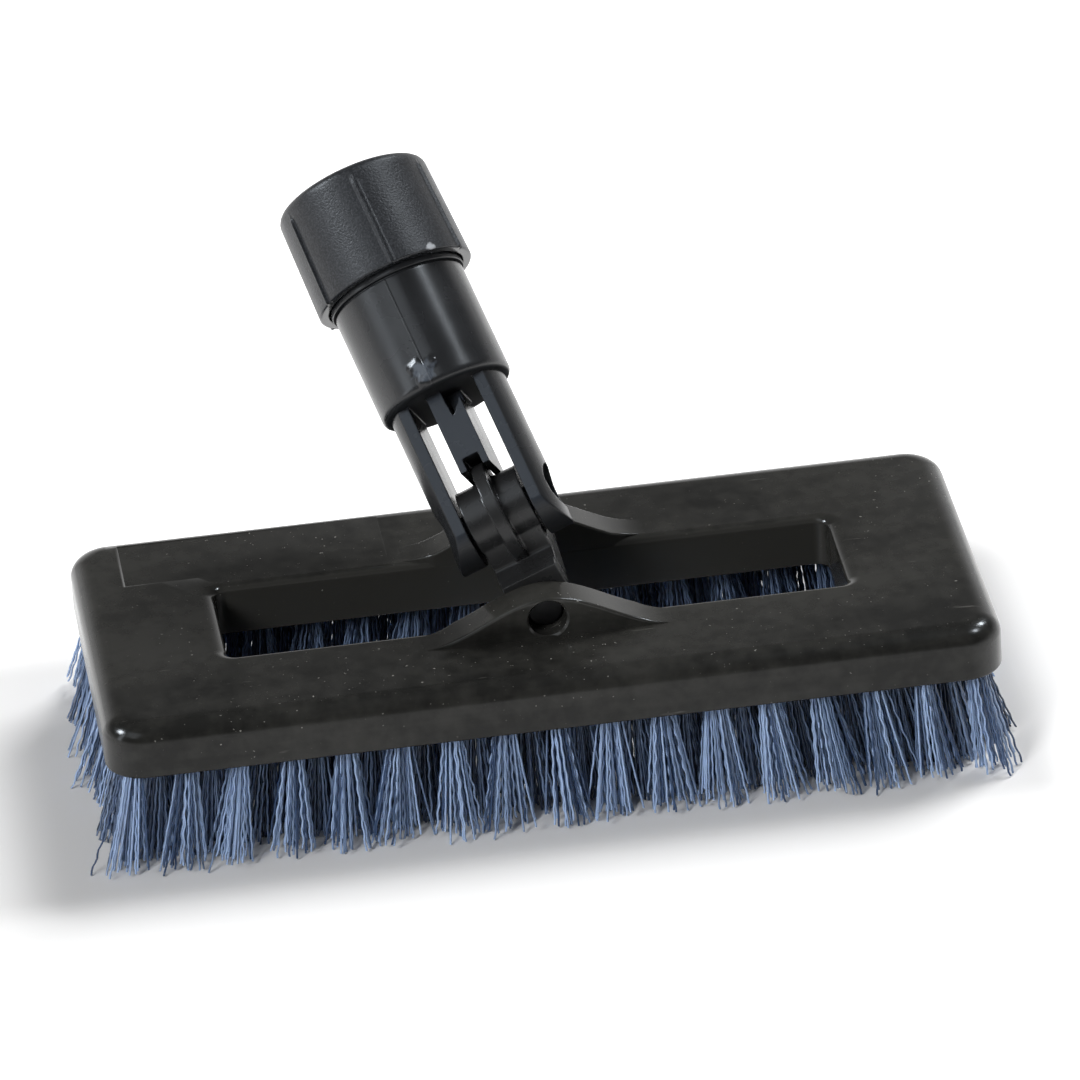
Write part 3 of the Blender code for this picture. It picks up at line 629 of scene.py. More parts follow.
def block_plastic():
    """Glossy black plastic with dust, scuffs and flow bands. Painted light: it is painted paler beside the
    window as a painted sheen, and paler on its far wall and on the lugs, and it is less of a mirror in front."""
    look = Surface("block_plastic", 0.24, BLOCK_SPECULAR)
    axes = look.node("ShaderNodeSeparateXYZ", look.place).outputs
    bands = look.ranged(look.noise(1.0, 3.0, stretch=(14, 60, 260)), (0.35, 0.7), (0, 0.45))
    bar_top = (BLOCK_LOW.y + BLOCK_TOP_ROUND, BLOCK_Y - WINDOW_WIDTH / 2)
    # Painted sheen: the bars' top is painted paler from the front rim towards the window
    painted_sheen = look.ranged(axes["Y"], bar_top, (0, 0.48))
    clouds = look.ranged(look.noise(26, 5.0), (0.3, 0.7), (-0.35, 0.35))
    mottle = look.ranged(look.noise(260, 4.0), (0.3, 0.7), (-0.3, 0.3))
    # Painted light: the window's far wall, which faces the front, is painted paler
    forward = look.ranged(look.facing((0, -1, 0)), (0.5, 0.9), (0, 0.9))
    behind = look.ranged(axes["Y"], (BLOCK_Y, BLOCK_Y + TONE_EDGE))
    far_wall = look.maths("MULTIPLY", forward, behind)
    # Painted light: the lugs are painted paler above their feet
    lugs = look.ranged(axes["Z"], [BLOCK_TOP + rise for rise in PALE_LUG_RISE], (0, 0.6))
    tone = look.mixed(look.total(bands, painted_sheen, clouds, mottle, far_wall, lugs), *BLOCK_TONES)
    specks = look.ranged(look.noise(1100, 1.0), (0.738, 0.79))
    dust = look.maths("MULTIPLY", specks, look.ranged(look.noise(40), (0.42, 0.62), (0.1, 1)))
    scuffs = look.ranged(look.noise(420, stretch=(0.16, 1.0, 1.0)), (0.73, 0.82), (0, 0.35))
    marks = look.maths("MAXIMUM", dust, scuffs)
    look.give("Base Color", look.mixed(marks, tone, DUST))
    front = (BLOCK_LOW.y, BLOCK_LOW.y + BLOCK_TOP_ROUND / 2)
    look.give("Specular IOR Level", look.ranged(axes["Y"], front, (FRONT_SPECULAR, BLOCK_SPECULAR)))
    worn = look.ranged(look.noise(18, 5.0), (0.3, 0.7), (0.12, 0.25))
    look.give("Roughness", look.total(worn, look.maths("MULTIPLY", marks, 0.4)))
    look.bump(look.noise(30, 3.0, stretch=(0.5, 1.2, 1.2)), 0.3, BLOCK_GRAIN)
    return look.material


def knuckle_plastic():
    look = Surface("knuckle_plastic", 0.3, 0.38)
    look.give("Base Color", look.mixed(look.noise(60, 3.0), *KNUCKLE_TONES))
    look.give("Roughness", look.ranged(look.noise(140, 3.0), (0.1, 0.9), (0.18, 0.36)))
    look.bump(look.noise(260, 3.0), 0.25, KNUCKLE_GRAIN)
    return look.material


def socket_plastic():
    """Satin black plastic, a little blue, with a smear whose pale colour is a painted highlight: dull
    underneath, and painted paler on the fork's front as a painted sheen.
    """
    look = Surface("socket_plastic", 0.3)
    tone = look.mixed(look.noise(45, 4.0), *SOCKET_TONES)
    # The smear: raised flash in the shape, painted pale here as its highlight
    smear = look.spot(SMEAR_ANGLE, SOCKET_RADIUS, SMEAR_HEIGHT, SMEAR_REACH)
    dull = look.ranged(look.facing(UP_HANDLE), (-0.9, -0.6), (1, 0))
    foot = LEAN_PLACE.dot(UP_HANDLE) + SOCKET_BOTTOM
    # Painted sheen: the fork's front faces, below the socket, are painted paler
    arms = look.ranged(look.along(look.place, UP_HANDLE), (foot - TONE_EDGE, foot), (1, 0))
    front = look.ranged(look.facing(ACROSS_FORK.cross(UP_HANDLE)), (0.8, 0.97), (0, 0.8))
    tone = look.mixed(look.maths("MULTIPLY", arms, front), tone, FORK_FRONT_SHEEN)
    look.give("Base Color", look.mixed(look.maths("MULTIPLY", smear, 0.7), tone, SMEAR_HIGHLIGHT))
    flat = look.maths("MAXIMUM", dull, look.maths("MULTIPLY", arms, 0.5))
    look.give("Specular IOR Level", look.ranged(flat, (0, 1), (0.5, 0.05)))
    satin = look.ranged(look.noise(90, 4.0), (0, 1), (0.16, 0.36))
    look.give("Roughness", look.total(satin, look.maths("MULTIPLY", dull, 0.4)))
    look.bump(look.noise(300, 3.0), 0.2, SOCKET_GRAIN)
    return look.material


def nut_plastic():
    """Finely grained black plastic, paler on the grain's crests, with a painted glint for a nick in the lower
    edge.
    """
    look = Surface("nut_plastic", 0.4, 0.43)
    grain = look.noise(2200, 1.0)
    tone = look.mixed(look.ranged(grain, (0.4, 0.7)), *NUT_TONES)
    # Painted glint: a pale spot where a nick in the lower edge would catch the light
    nick = look.spot(NICK_ANGLE, NUT_RADIUS, NICK_HEIGHT, NICK_REACH)
    look.give("Base Color", look.mixed(nick, tone, NICK_GLINT))
    outside = look.ranged(look.facing(UP_HANDLE), (-0.8, -0.3))
    rough = look.ranged(look.noise(120, 3.0), (0, 1), (0.34, 0.50))
    look.give("Roughness", look.maths("SUBTRACT", rough, look.ranged(outside, (0, 1), (0.28, 0))))
    look.bump(look.maths("MULTIPLY", grain, outside), 0.8, NUT_GRAIN)
    return look.material


def collet_nylon():
    look = Surface("collet_nylon", 0.5)
    look.give("Base Color", look.mixed(look.noise(300, 3.0), *COLLET_TONES))
    look.bump(look.noise(900), 0.2, COLLET_GRAIN)
    return look.material


def dark_steel():
    look = Surface("dark_steel", 0.42)
    look.give("Metallic", 1.0)
    look.give("Base Color", look.mixed(look.noise(220, 4.0), *STEEL_TONES))
    look.give("Roughness", look.ranged(look.noise(500, 3.0), (0.3, 0.7), (0.34, 0.55)))
    return look.material


def bristle_fibre(name, dark, light):
    """Slate-blue filament plastic, each filament of its own tone from dark to light."""
    look = Surface(name, 0.3)
    own = look.node("ShaderNodeNewGeometry").outputs["Random Per Island"]
    tone = look.mixed(look.ranged(own, (0.25, 0.75)), dark, light)
    patches = look.ranged(look.noise(320), (0.3, 0.7), (0, 0.25))
    look.give("Base Color", look.mixed(patches, tone, dark))
    return look.material


def rounded_rectangle(length, width, corner, height):
    """Points round a rectangle with rounded corners, always as many, at one height."""
    points = []
    for quarter in range(4):
        x = (length / 2 - corner) * (1 if quarter in (0, 3) else -1)
        y = (width / 2 - corner) * (1 if quarter in (0, 1) else -1)
        for dx, dy in arc(corner, 90 * quarter, 90 * quarter + 90, CORNER_STEPS):
            points.append((x + dx, y + dy, height))
    return points


def slab():
    """The block's frame: outer wall, rounded rim, flat top, and the window's wall with rounded rims."""
    rings = []

    def ring(length, width, corner, inset, height, end_inset=None):
        end_inset = inset if end_inset is None else end_inset
        rings.append(rounded_rectangle(length - 2 * end_inset, width - 2 * inset, corner - inset, height))

    outer = (BLOCK_LENGTH, BLOCK_WIDTH, BLOCK_CORNER)
    inner = (WINDOW_LENGTH, WINDOW_WIDTH, WINDOW_CORNER)
    rim = rounding(RIM_STEPS)
    for a, b in rim:
        ring(*outer, BLOCK_BOTTOM_ROUND * a, BLOCK_BOTTOM_ROUND * b)
    for a, b in rim:
        ring(*outer, BLOCK_TOP_EASE * b, BLOCK_THICKNESS - BLOCK_TOP_ROUND * a)
    for a, b in reversed(rim):
        ring(*inner, -WINDOW_RIM * b, BLOCK_THICKNESS - WINDOW_RIM * a, -WINDOW_END_RIM * b)
    for a, b in reversed(rim):
        ring(*inner, -WINDOW_LOWER_RIM * a, WINDOW_LOWER_RIM * b)
    seat = Matrix.Translation((0, BLOCK_Y, TRIM))
    return skin("block_shell", rings, around=True, along=True, turn=seat)


def panel_cutter():
    """A shallow plate with a rounded lip, sunk into the left part of the back bar's top."""
    left = BLOCK_LOW.x + PANEL_FROM_END
    low = BLOCK_Y + WINDOW_WIDTH / 2 + PANEL_FROM_WINDOW
    high = BLOCK_HIGH.y - BLOCK_TOP_ROUND
    rings = []
    for depth_share, grow_share in PANEL_LIP_SHARES:
        grow = PANEL_DEPTH * grow_share
        x0, x1, y0, y1 = left - grow, left + PANEL_LENGTH + grow, low - grow, high + grow
        z0 = BLOCK_TOP - PANEL_DEPTH * depth_share
        z1 = BLOCK_TOP - PANEL_DEPTH * (depth_share - PANEL_RISE_SHARE)
        rings.append([(x0, y0, z0), (x1, y0, z1), (x1, y1, z1), (x0, y1, z0)])
    return skin("panel", rings, around=True)


def lug_section(x, height, side):
    """A lug's cross-section at x: outer face, rounded outer edge, top, rounded inner edge."""
    buried = WINDOW_RIM * (1 - min(1, max(height, 0) / WINDOW_RIM))
    inner = WINDOW_WIDTH / 2 + LUG_INSET + buried
    outer = WINDOW_WIDTH / 2 + LUG_THICKNESS
    front = min(LUG_FRONT_EDGE, max(height, 0) / 2)
    back = min(LUG_INNER_EDGE, max(height, 0) / 2)
    edge = rounding(FILLET_STEPS)
    points = [(outer, -LUG_SINK)]
    points += [(outer - front * b, height - front * a) for a, b in edge]
    points += [(inner + back * a, height - back * b) for a, b in edge]
    points.append((inner, -LUG_SINK))
    return [(TILT_PLACE.x + x, BLOCK_Y + side * y, BLOCK_TOP + z) for y, z in points]


def lug(side):
    rings = []
    for station in range(LUG_STATIONS + 1):
        share = 2 * station / LUG_STATIONS - 1
        bell = (1 + math.cos(math.pi * abs(share) ** LUG_BELL_POWER)) / 2
        height = LUG_RISE * bell - LUG_INSET * (1 - bell)
        rings.append(lug_section(LUG_HALF_LENGTH * share, height, side))
    return skin("lug", rings, around=True)


def bore_cutter():
    """The lower pin's bore through both lugs, flared at each outer face."""
    outer = WINDOW_WIDTH / 2 + LUG_THICKNESS
    radius = TILT_PIN_RADIUS + GAP
    reach = outer + OVERRUN
    half = [(radius, outer - BORE_CHAMFER), (radius + BORE_CHAMFER + OVERRUN, reach)]
    profile = [(0, -reach)] + [(r, -y) for r, y in reversed(half)] + half + [(0, reach)]
    turn = Matrix.Translation((TILT_PLACE.x, BLOCK_Y, TILT_PLACE.z)) @ ALONG_Y
    return revolved("bore", profile, turn_steps(), False, turn)


def build_block(material):
    """The slab with its panel, and two lugs whose feet stand in its top."""
    block = slab()
    panel = panel_cutter()
    combined(block, "DIFFERENCE", [panel])
    settled(block, [panel])
    lugs = [lug(-1), lug(1)]
    cutter = bore_cutter()
    for piece in lugs:
        combined(piece, "DIFFERENCE", [cutter])
        settled(piece)
    bpy.data.objects.remove(cutter, do_unlink=True)
    shell = smooth(joined("block_shell", [block] + lugs))
    dress(shell, "block", material, "block_plastic", "brush_block")


def pin(name, radius, half_length, turn):
    """A round pin with rounded rims."""
    half = [(0, half_length, 0), (radius, half_length, PIN_EDGE)]
    corners = half + [(r, -h, edge) for r, h, edge in reversed(half)]
    return smooth(revolved(name, rounded_path(corners, False), turn_steps(), False, turn))


def build_pins(material):
    """The lower pin inside the lugs, and the upper one from counterbore to counterbore."""
    reach = WINDOW_WIDTH / 2 + LUG_THICKNESS - TILT_PIN_RECESS
    lower = pin("tilt_pin_shell", TILT_PIN_RADIUS, reach, Matrix.Translation(TILT_PLACE) @ ALONG_Y)
    dress(lower, "block", material, "dark_steel", "tilt_pin")
    reach = FORK_RADIUS - COUNTERBORE_DEPTH + LEAN_PIN_PROUD
    upper = pin("lean_pin_shell", LEAN_PIN_RADIUS, reach, HANDLE_FRAME @ ALONG_X)
    dress(upper, "yoke", material, "dark_steel", "lean_pin")


def build_knuckle(material):
    """The cross piece: a foot on the lower pin, and a disc with a guide ring on the upper pin."""
    side = KNUCKLE_FOOT_RADIUS
    foot_reach = WINDOW_WIDTH / 2 - GAP
    foot_outline = arc(side, 0, -180, ARC_STEPS) + [(-side, KNUCKLE_FOOT_TOP), (side, KNUCKLE_FOOT_TOP)]
    foot = prism("knuckle_shell", foot_outline, -foot_reach, foot_reach, ALONG_Y)
    side_line = rounded_path([[c * MM for c in corner] for corner in KNUCKLE_STEM_CORNERS], False)
    front = [(-z, y) for y, z in side_line]
    half_stem = KNUCKLE_STEM_WIDTH / 2
    stem = prism("stem", front + [(x, -y) for x, y in reversed(front)], -half_stem, half_stem, ALONG_X)
    upper = Matrix.Translation((0, 0, AXIS_SPACING)) @ ALONG_X
    half = KNUCKLE_WIDTH / 2
    disc = bar("disc", KNUCKLE_DISC_RADIUS, -half, half, upper)
    ring = bar("ring", KNUCKLE_RING_RADIUS, -KNUCKLE_RING_WIDTH / 2, KNUCKLE_RING_WIDTH / 2, upper)
    reach = foot_reach + OVERRUN
    lower_bore = bar("lower_bore", TILT_PIN_RADIUS + GAP, -reach, reach, ALONG_Y)
    upper_bore = bar("upper_bore", LEAN_PIN_RADIUS + GAP, -half - OVERRUN, half + OVERRUN, upper)
    shell = moulded(foot, [stem, disc, ring], [lower_bore, upper_bore], KNUCKLE_FRAME)
    dress(smooth(shell, FULL_TURN / 2), "knuckle", material, "knuckle_plastic", "swivel_knuckle")


def fork_opening():
    """The gap between the arms, with the web and its notch for the knuckle's ring left standing."""
    web = WEB_WIDTH / 2
    notch = KNUCKLE_RING_WIDTH / 2 + NOTCH_SIDE_GAP
    notch_top = KNUCKLE_RING_RADIUS + NOTCH_TOP_GAP
    web_bottom = KNUCKLE_DISC_RADIUS + WEB_GAP
    inner = KNUCKLE_WIDTH / 2 + FORK_SIDE_GAP
    reach = FORK_END_RADIUS + OVERRUN
    right = [(notch, notch_top), (notch, web_bottom), (web, web_bottom)]
    right += [(web, SOCKET_BOTTOM), (inner, SOCKET_BOTTOM), (inner, -reach)]
    return prism("opening", right + [(-x, z) for x, z in reversed(right)], -reach, reach, ALONG_Y)


def fork():
    """The two arms and the web, with the upper pin's bore and its counterbores."""
    edge = math.degrees(math.asin(FORK_HALF_DEPTH / FORK_RADIUS))
    outline = arc(FORK_RADIUS, -edge, edge, ARC_STEPS // 2)
    outline += arc(FORK_RADIUS, 180 - edge, 180 + edge, ARC_STEPS // 2)
    arms = prism("fork_shell", outline, -FORK_END_RADIUS, SOCKET_BOTTOM + SOCKET_EDGE)
    reach = FORK_RADIUS + OVERRUN
    tongue = arc(FORK_END_RADIUS, -90, 90, ARC_STEPS)
    tongue += [(-SOCKET_TOP, FORK_END_RADIUS), (-SOCKET_TOP, -FORK_END_RADIUS)]
    end = prism("tongue", tongue, -reach, reach, ALONG_X)
    combined(arms, "INTERSECT", [end])
    settled(arms, [end])
    floor = FORK_RADIUS - COUNTERBORE_DEPTH
    pocket = [(x * MM, z * MM) for x, z in POCKET]
    cuts = [
        fork_opening(),
        bar("counterbore_left", COUNTERBORE_RADIUS, -reach, -floor, ALONG_X),
        bar("counterbore_right", COUNTERBORE_RADIUS, floor, reach, ALONG_X),
        bar("pin_bore", LEAN_PIN_RADIUS + GAP, -reach, reach, ALONG_X),
        prism("pocket", pocket, FORK_HALF_DEPTH - POCKET_DEPTH, FORK_HALF_DEPTH + OVERRUN, ALONG_Y),
    ]
    return moulded(arms, [], cuts, HANDLE_FRAME)


def apart(angle, middle):
    """The turn in degrees from middle to angle, between -180 and 180."""
    return (angle - middle + FULL_TURN / 2) % FULL_TURN - FULL_TURN / 2


def socket_relief(angle, radius, height):
    """The two parting seams, and the smear of flash at the foot of the front one."""
    inside_wall = radius < SOCKET_RADIUS - SOCKET_WALL_DEPTH
    if inside_wall or not SOCKET_BOTTOM < height < COLLAR_BOTTOM - COLLAR_GROOVE:
        return 0
    seams = [max(0, 1 - abs(apart(angle, seam)) / SEAM_HALF_TURN) for seam in SEAM_ANGLES]
    across = apart(angle, SMEAR_ANGLE) / SMEAR_HALF_TURN
    along = (height - SMEAR_HEIGHT) / SMEAR_HALF_HEIGHT
    bearing = math.atan2(along, across)
    edge = 1 + sum(size * math.sin(count * bearing + phase) for size, count, phase in SMEAR_WAVES)
    inside = edge - math.hypot(across, along)
    return SEAM_HEIGHT * sum(seams) + SMEAR_RISE * min(1, max(0, inside * SMEAR_STEEPNESS))


def socket():
    """The handle's socket with its collar, neck, flared mouth and bore."""
    groove = SOCKET_RADIUS - COLLAR_GROOVE
    corners = [
        (0, SOCKET_BOTTOM, 0),
        (SOCKET_RADIUS, SOCKET_BOTTOM, SOCKET_EDGE),
        (SOCKET_RADIUS, COLLAR_BOTTOM - COLLAR_GROOVE, SMALL_EDGE),
        (groove, COLLAR_BOTTOM - COLLAR_GROOVE, 0),
        (groove, COLLAR_BOTTOM, 0),
        (COLLAR_RADIUS, COLLAR_BOTTOM, SMALL_EDGE),
        (COLLAR_RADIUS, SOCKET_TOP, SMALL_EDGE),
        (NECK_RADIUS, SOCKET_TOP, 0),
        (NECK_RADIUS, NECK_TOP, SMALL_EDGE),
        (MOUTH_TOP_RADIUS, NECK_TOP, SMALL_EDGE),
        (MOUTH_BOTTOM_RADIUS, MOUTH_BOTTOM, 0),
        (BORE_RADIUS, MOUTH_BOTTOM, SMALL_EDGE),
        (BORE_RADIUS, SOCKET_FLOOR, 0),
        (0, SOCKET_FLOOR, 0),
    ]
    profile = divided(rounded_path(corners, False), SOCKET_PROFILE_STEP)
    extra = [(seam, SEAM_OFFSETS) for seam in SEAM_ANGLES]
    extra.append((SMEAR_ANGLE, SMEAR_OFFSETS))
    return revolved("socket", profile, turn_steps(extra), False, HANDLE_FRAME, socket_relief)


def build_yoke(material):
    yoke = smooth(joined("yoke_shell", [socket(), fork()]), TURNED_EDGE_ANGLE)
    dress(yoke, "yoke", material, "socket_plastic", "handle_yoke")


def rib_relief(angle, radius, height):
    """The nut's raised ribs, each with a shallow groove beside it, fading out below the shoulder."""
    if radius < NUT_RADIUS - NUT_TAPER - NUT_EDGE or height > RIB_TOP:
        return 0
    fade = min(1, (RIB_TOP - height) / RIB_FADE)
    for index in range(NUT_RIBS):
        place = math.radians(apart(angle, RIB_PHASE + FULL_TURN * index / NUT_RIBS)) * NUT_RADIUS / MM
        for (x0, y0), (x1, y1) in zip(RIB_SHARES, RIB_SHARES[1:]):
            if x0 <= place <= x1:
                return RIB_PROUD * fade * (y0 + (y1 - y0) * (place - x0) / (x1 - x0))
    return 0


def build_nut(material):
    """The tapered lock nut with its rounded shoulder, six ribs, skirt and opening."""
    corners = [
        (NUT_OPENING, NUT_TOP, NUT_EDGE),
        (NUT_RADIUS - NUT_TAPER, NUT_TOP, NUT_TOP_ROUND),
        (NUT_RADIUS, NUT_BOTTOM, NUT_LIP),
        (NUT_SKIRT, NUT_BOTTOM, SMALL_EDGE),
        (NUT_SKIRT, NUT_SKIRT_TOP, SMALL_EDGE),
        (NUT_BORE_RADIUS, NUT_SKIRT_TOP, SMALL_EDGE),
        (NUT_BORE_RADIUS, NUT_CEILING, SMALL_EDGE),
        (NUT_OPENING, NUT_CEILING, SMALL_EDGE),
    ]
    profile = rounded_path(corners, True)
    profile = divided(profile + profile[:1], NUT_PROFILE_STEP)[:-1]
    offsets = [math.degrees(x * MM / NUT_RADIUS) for x, _ in RIB_SHARES]
    extra = [(RIB_PHASE + FULL_TURN * index / NUT_RIBS, offsets) for index in range(NUT_RIBS)]
    nut = revolved("nut_shell", profile, turn_steps(extra), True, HANDLE_FRAME, rib_relief)
    dress(smooth(nut, TURNED_EDGE_ANGLE), "nut", material, "nut_plastic", "lock_nut")


def build_collet(material):
    """The split ring that grips the handle, with its flange above the neck."""
    corners = [
        (HANDLE_RADIUS, COLLET_TOP, SMALL_EDGE),
        (COLLET_FLANGE, COLLET_TOP, SMALL_EDGE),
        (COLLET_FLANGE, COLLET_SEAT, SMALL_EDGE),
        (MOUTH_TOP_RADIUS - GAP, COLLET_SEAT, 0),
        (MOUTH_BOTTOM_RADIUS - GAP, COLLET_BOTTOM, SMALL_EDGE),
        (HANDLE_RADIUS, COLLET_BOTTOM, SMALL_EDGE),
    ]
    first = 90 + COLLET_SPLIT_TURN
    sweep = FULL_TURN - 2 * COLLET_SPLIT_TURN
    steps = round(sweep / TURN_STEP)
    angles = [first + sweep * i / steps for i in range(steps + 1)]
    profile = rounded_path(corners, True)
    collet = revolved("collet_shell", profile, angles, True, HANDLE_FRAME, whole=False)
    dress(smooth(collet, TURNED_EDGE_ANGLE), "collet", material, "collet_nylon", "grip_collet")


def spaced(count, pitch):
    return [pitch * (i - (count - 1) / 2) for i in range(count)]


def bristle_rows():
    """Every row of tufts: its node, and each tuft's root, tip and the flare of its tips, in x and y."""
    rows = []
    for side, sign in (("front", -1), ("back", 1)):
        for index, (label, lean_share, half_share) in enumerate(BAR_ROW_SHARES):
            root = BLOCK_WIDTH / 2 - TUFT_FROM_SIDE - index * TUFT_PITCH_Y / 2
            tip = root + lean_share * TUFT_PITCH_Y
            flare = (TUFT_PITCH_X * BAR_SPREAD_SHARE / 2, half_share * TUFT_PITCH_Y)
            places = spaced(TUFTS_ALONG - index % 2, TUFT_PITCH_X)
            middle = (len(places) + 1) // 2
            for end, part in (("left", places[:middle]), ("right", places[middle:])):
                tufts = [((x, sign * root), (x * BAR_SPREAD_SHARE, sign * tip), flare) for x in part]
                rows.append((f"bristles_{side}_{label}_{end}", tufts))
    for side, sign in (("left", -1), ("right", 1)):
        for index, (label, lean_share, half_share) in enumerate(END_ROW_SHARES):
            root = BLOCK_LENGTH / 2 - TUFT_FROM_END - index * TUFT_PITCH_X / 2
            tip = root + lean_share * TUFT_PITCH_X
            spread = END_SPREAD_SHARES[index]
            flare = (half_share * TUFT_PITCH_X, TUFT_PITCH_Y * spread / 2)
            places = spaced(END_ROW_TUFTS[index], TUFT_PITCH_Y)
            tufts = [((sign * root, y), (sign * tip, y * spread), flare) for y in places]
            rows.append((f"bristles_{side}_end_{label}", tufts))
    return rows


def filament(root, tip, crimp, start, end):
    """The centres of a crimped filament from its root down to its tip, in the block's frame."""
    bearing, phase, period, depth = crimp
    points = []
    for step in range(FILAMENT_STEPS + 1):
        share = step / FILAMENT_STEPS
        opening = share ** FLARE_POWER
        height = start + (end - start) * share
        onset = min(1, CRIMP_ONSET * share)
        wave = depth * onset * math.sin(math.tau * (start - height) / period + phase)
        x = root[0] + (tip[0] - root[0]) * opening + wave * math.cos(bearing)
        y = root[1] + (tip[1] - root[1]) * opening + wave * math.sin(bearing)
        points.append((x, y, height))
    return points


def tuft_filaments(chance, kind, root, tip, flare):
    """The centre lines of one tuft's filaments, which share a lean and a crimp and stray from both."""
    wander = (chance.uniform(-1, 1) * TUFT_WANDER, chance.uniform(-1, 1) * TUFT_WANDER / 2)
    lean = (tip[0] + wander[0], tip[1] + wander[1])
    nest = (chance.uniform(0, math.tau), chance.uniform(0, math.tau))
    lines = []
    count, opened, ragged = kind
    for _ in range(count):
        out = math.sqrt(chance.random())
        bearing = chance.uniform(0, math.tau)
        place = (out * math.cos(bearing), out * math.sin(bearing))
        at_root = (root[0] + place[0] * TUFT_RADIUS, root[1] + place[1] * TUFT_RADIUS)
        stray = chance.random() < STRAY_SHARE
        reach = STRAY_REACH if stray else 1.0
        scatter = [chance.gauss(0, TIP_SCATTER) for _ in range(2)]
        at_tip = [lean[i] + place[i] * flare[i] * opened * reach + scatter[i] for i in range(2)]
        crimp = (
            nest[0] + chance.gauss(0, CRIMP_STRAY),
            nest[1] + chance.gauss(0, CRIMP_STRAY),
            CRIMP_PERIOD * chance.uniform(*CRIMP_PERIOD_SHARES),
            CRIMP_DEPTH * chance.uniform(*CRIMP_DEPTH_SHARES),
        )
        low = TIP_LEAST + (0 if stray else abs(chance.gauss(0, ragged)))
        lines.append(filament(at_root, at_tip, crimp, TRIM + FILAMENT_ROOT, low))
    return lines


def filament_mesh(name, lines):
    """Thin four-sided tubes along the lines, closed at both ends."""
    section = circle(FILAMENT_RADIUS, FILAMENT_SIDES)
    sides = range(FILAMENT_SIDES)
    corners, faces = [], []
    for line in lines:
        first = len(corners)
        for x, y, z in line:
            corners += [(x + dx, BLOCK_Y + y + dy, z) for dx, dy in section]
        last = len(corners) - FILAMENT_SIDES
        for start in range(first, last, FILAMENT_SIDES):
            for side in sides:
                a, b = start + side, start + (side + 1) % FILAMENT_SIDES
                faces.append((a, a + FILAMENT_SIDES, b + FILAMENT_SIDES, b))
        faces.append(tuple(last + side for side in sides))
        faces.append(tuple(first + side for side in reversed(sides)))
    mesh = bpy.data.meshes.new(name)
    mesh.from_pydata(corners, [], faces)
    mesh.shade_smooth()
    return placed(name, mesh)


def build_bristles(outer, inside):
    """Every row's filaments: sparser and brighter in the outer rows, denser and painted dimmer, as painted
    shade, in the others.
    """
    chance = random.Random(SEED)
    for node, tufts in bristle_rows():
        # The rows inside the outer ones take the material painted with shade
        kind, material = (OUTER_ROW, outer) if "outer" in node else (INSIDE_ROW, inside)
        lines = [line for tuft in tufts for line in tuft_filaments(chance, kind, *tuft)]
        dress(filament_mesh(node + "_filaments", lines), "block", material, "bristle", node)


def softbox(name, azimuth, elevation, width, height, share):
    """A far rectangular lamp that gives this share of the plain level to a surface that faces it."""
    towards = direction(azimuth, elevation)
    wide, high = (2 * LAMP_DISTANCE * math.tan(math.radians(side) / 2) for side in (width, height))
    energy = share * math.pi ** 2 * LAMP_DISTANCE ** 2
    data = having(bpy.data.lights.new(name, "AREA"), shape="RECTANGLE", size=wide, size_y=high, energy=energy)
    lamp = placed(name, data)
    lamp.location = towards * LAMP_DISTANCE
    lamp.rotation_euler = towards.to_track_quat("Z", "Y").to_euler()
    return lamp


def build_world():
    """White to the camera; a white horizon under a dim ceiling to glossy rays; an even dome for the rest."""
    world = bpy.data.worlds.new("studio")
    bpy.context.scene.world = world
    graph = Graph(world)
    graph.tree.nodes.clear()
    rays = graph.node("ShaderNodeLightPath").outputs
    rise = graph.along(graph.node("ShaderNodeTexCoord").outputs["Generated"], HORIZON_FALL)
    horizon = graph.ranged(rise, HORIZON_RISE, HORIZON_SHARES, interpolation_type="SMOOTHSTEP")
    dome = graph.node("ShaderNodeBackground", WHITE, DOME_SHARE)
    mirrored = graph.node("ShaderNodeBackground", horizon, 1.0)
    seen = graph.node("ShaderNodeBackground", WHITE, 1.0)
    lit = graph.node("ShaderNodeMixShader", rays["Is Glossy Ray"], dome.outputs[0], mirrored.outputs[0])
    straight = graph.maths("MAXIMUM", rays["Is Camera Ray"], rays["Is Transmission Ray"])
    final = graph.node("ShaderNodeMixShader", straight, lit.outputs[0], seen.outputs[0])
    graph.node("ShaderNodeOutputWorld", final.outputs[0])


def painted_floor_glow(graph):
    """The floor's glow, a painted light: none under the bristles, which paints shade round them, all of it a
    little way outside, and more behind them and to the right, which paints out shadow there.
    """

    def past(place, edge, reach):
        """How far past an edge of the bristles' footprint a place is, as a share of the fade's reach."""
        beyond = graph.maths("SUBTRACT", place, edge + FLOOR_FADE_START)
        return graph.maths("MAXIMUM", graph.maths("DIVIDE", beyond, reach), 0)

    def faded(shares, most):
        """A soft step in the distance that the shares make together, so that corners are rounded."""
        squares = [graph.maths("MULTIPLY", share, share) for share in shares]
        far = graph.maths("SQRT", graph.total(*squares))
        return graph.ranged(far, (0, 1), (0, most), interpolation_type="SMOOTHSTEP")

    position = graph.node("ShaderNodeNewGeometry").outputs["Position"]
    place = graph.node("ShaderNodeSeparateXYZ", position).outputs
    to_right, to_back = place["X"], graph.maths("SUBTRACT", place["Y"], BLOCK_Y)
    to_left, to_front = (graph.maths("MULTIPLY", way, -1) for way in (to_right, to_back))
    end, side = BLOCK_LENGTH / 2, BLOCK_WIDTH / 2
    around = [past(to_right, end, FLOOR_FADE), past(to_left, end, FLOOR_FADE_LEFT)]
    around += [past(to_back, side, FLOOR_FADE_BEHIND), past(to_front, side, FLOOR_FADE)]
    behind = [past(to_right, end, FLOOR_FADE_BEHIND), past(to_back, side, FLOOR_FADE_BEHIND)]
    return graph.total(faded(around, FLOOR_LIFT), faded(behind, FLOOR_LIFT_BEHIND))


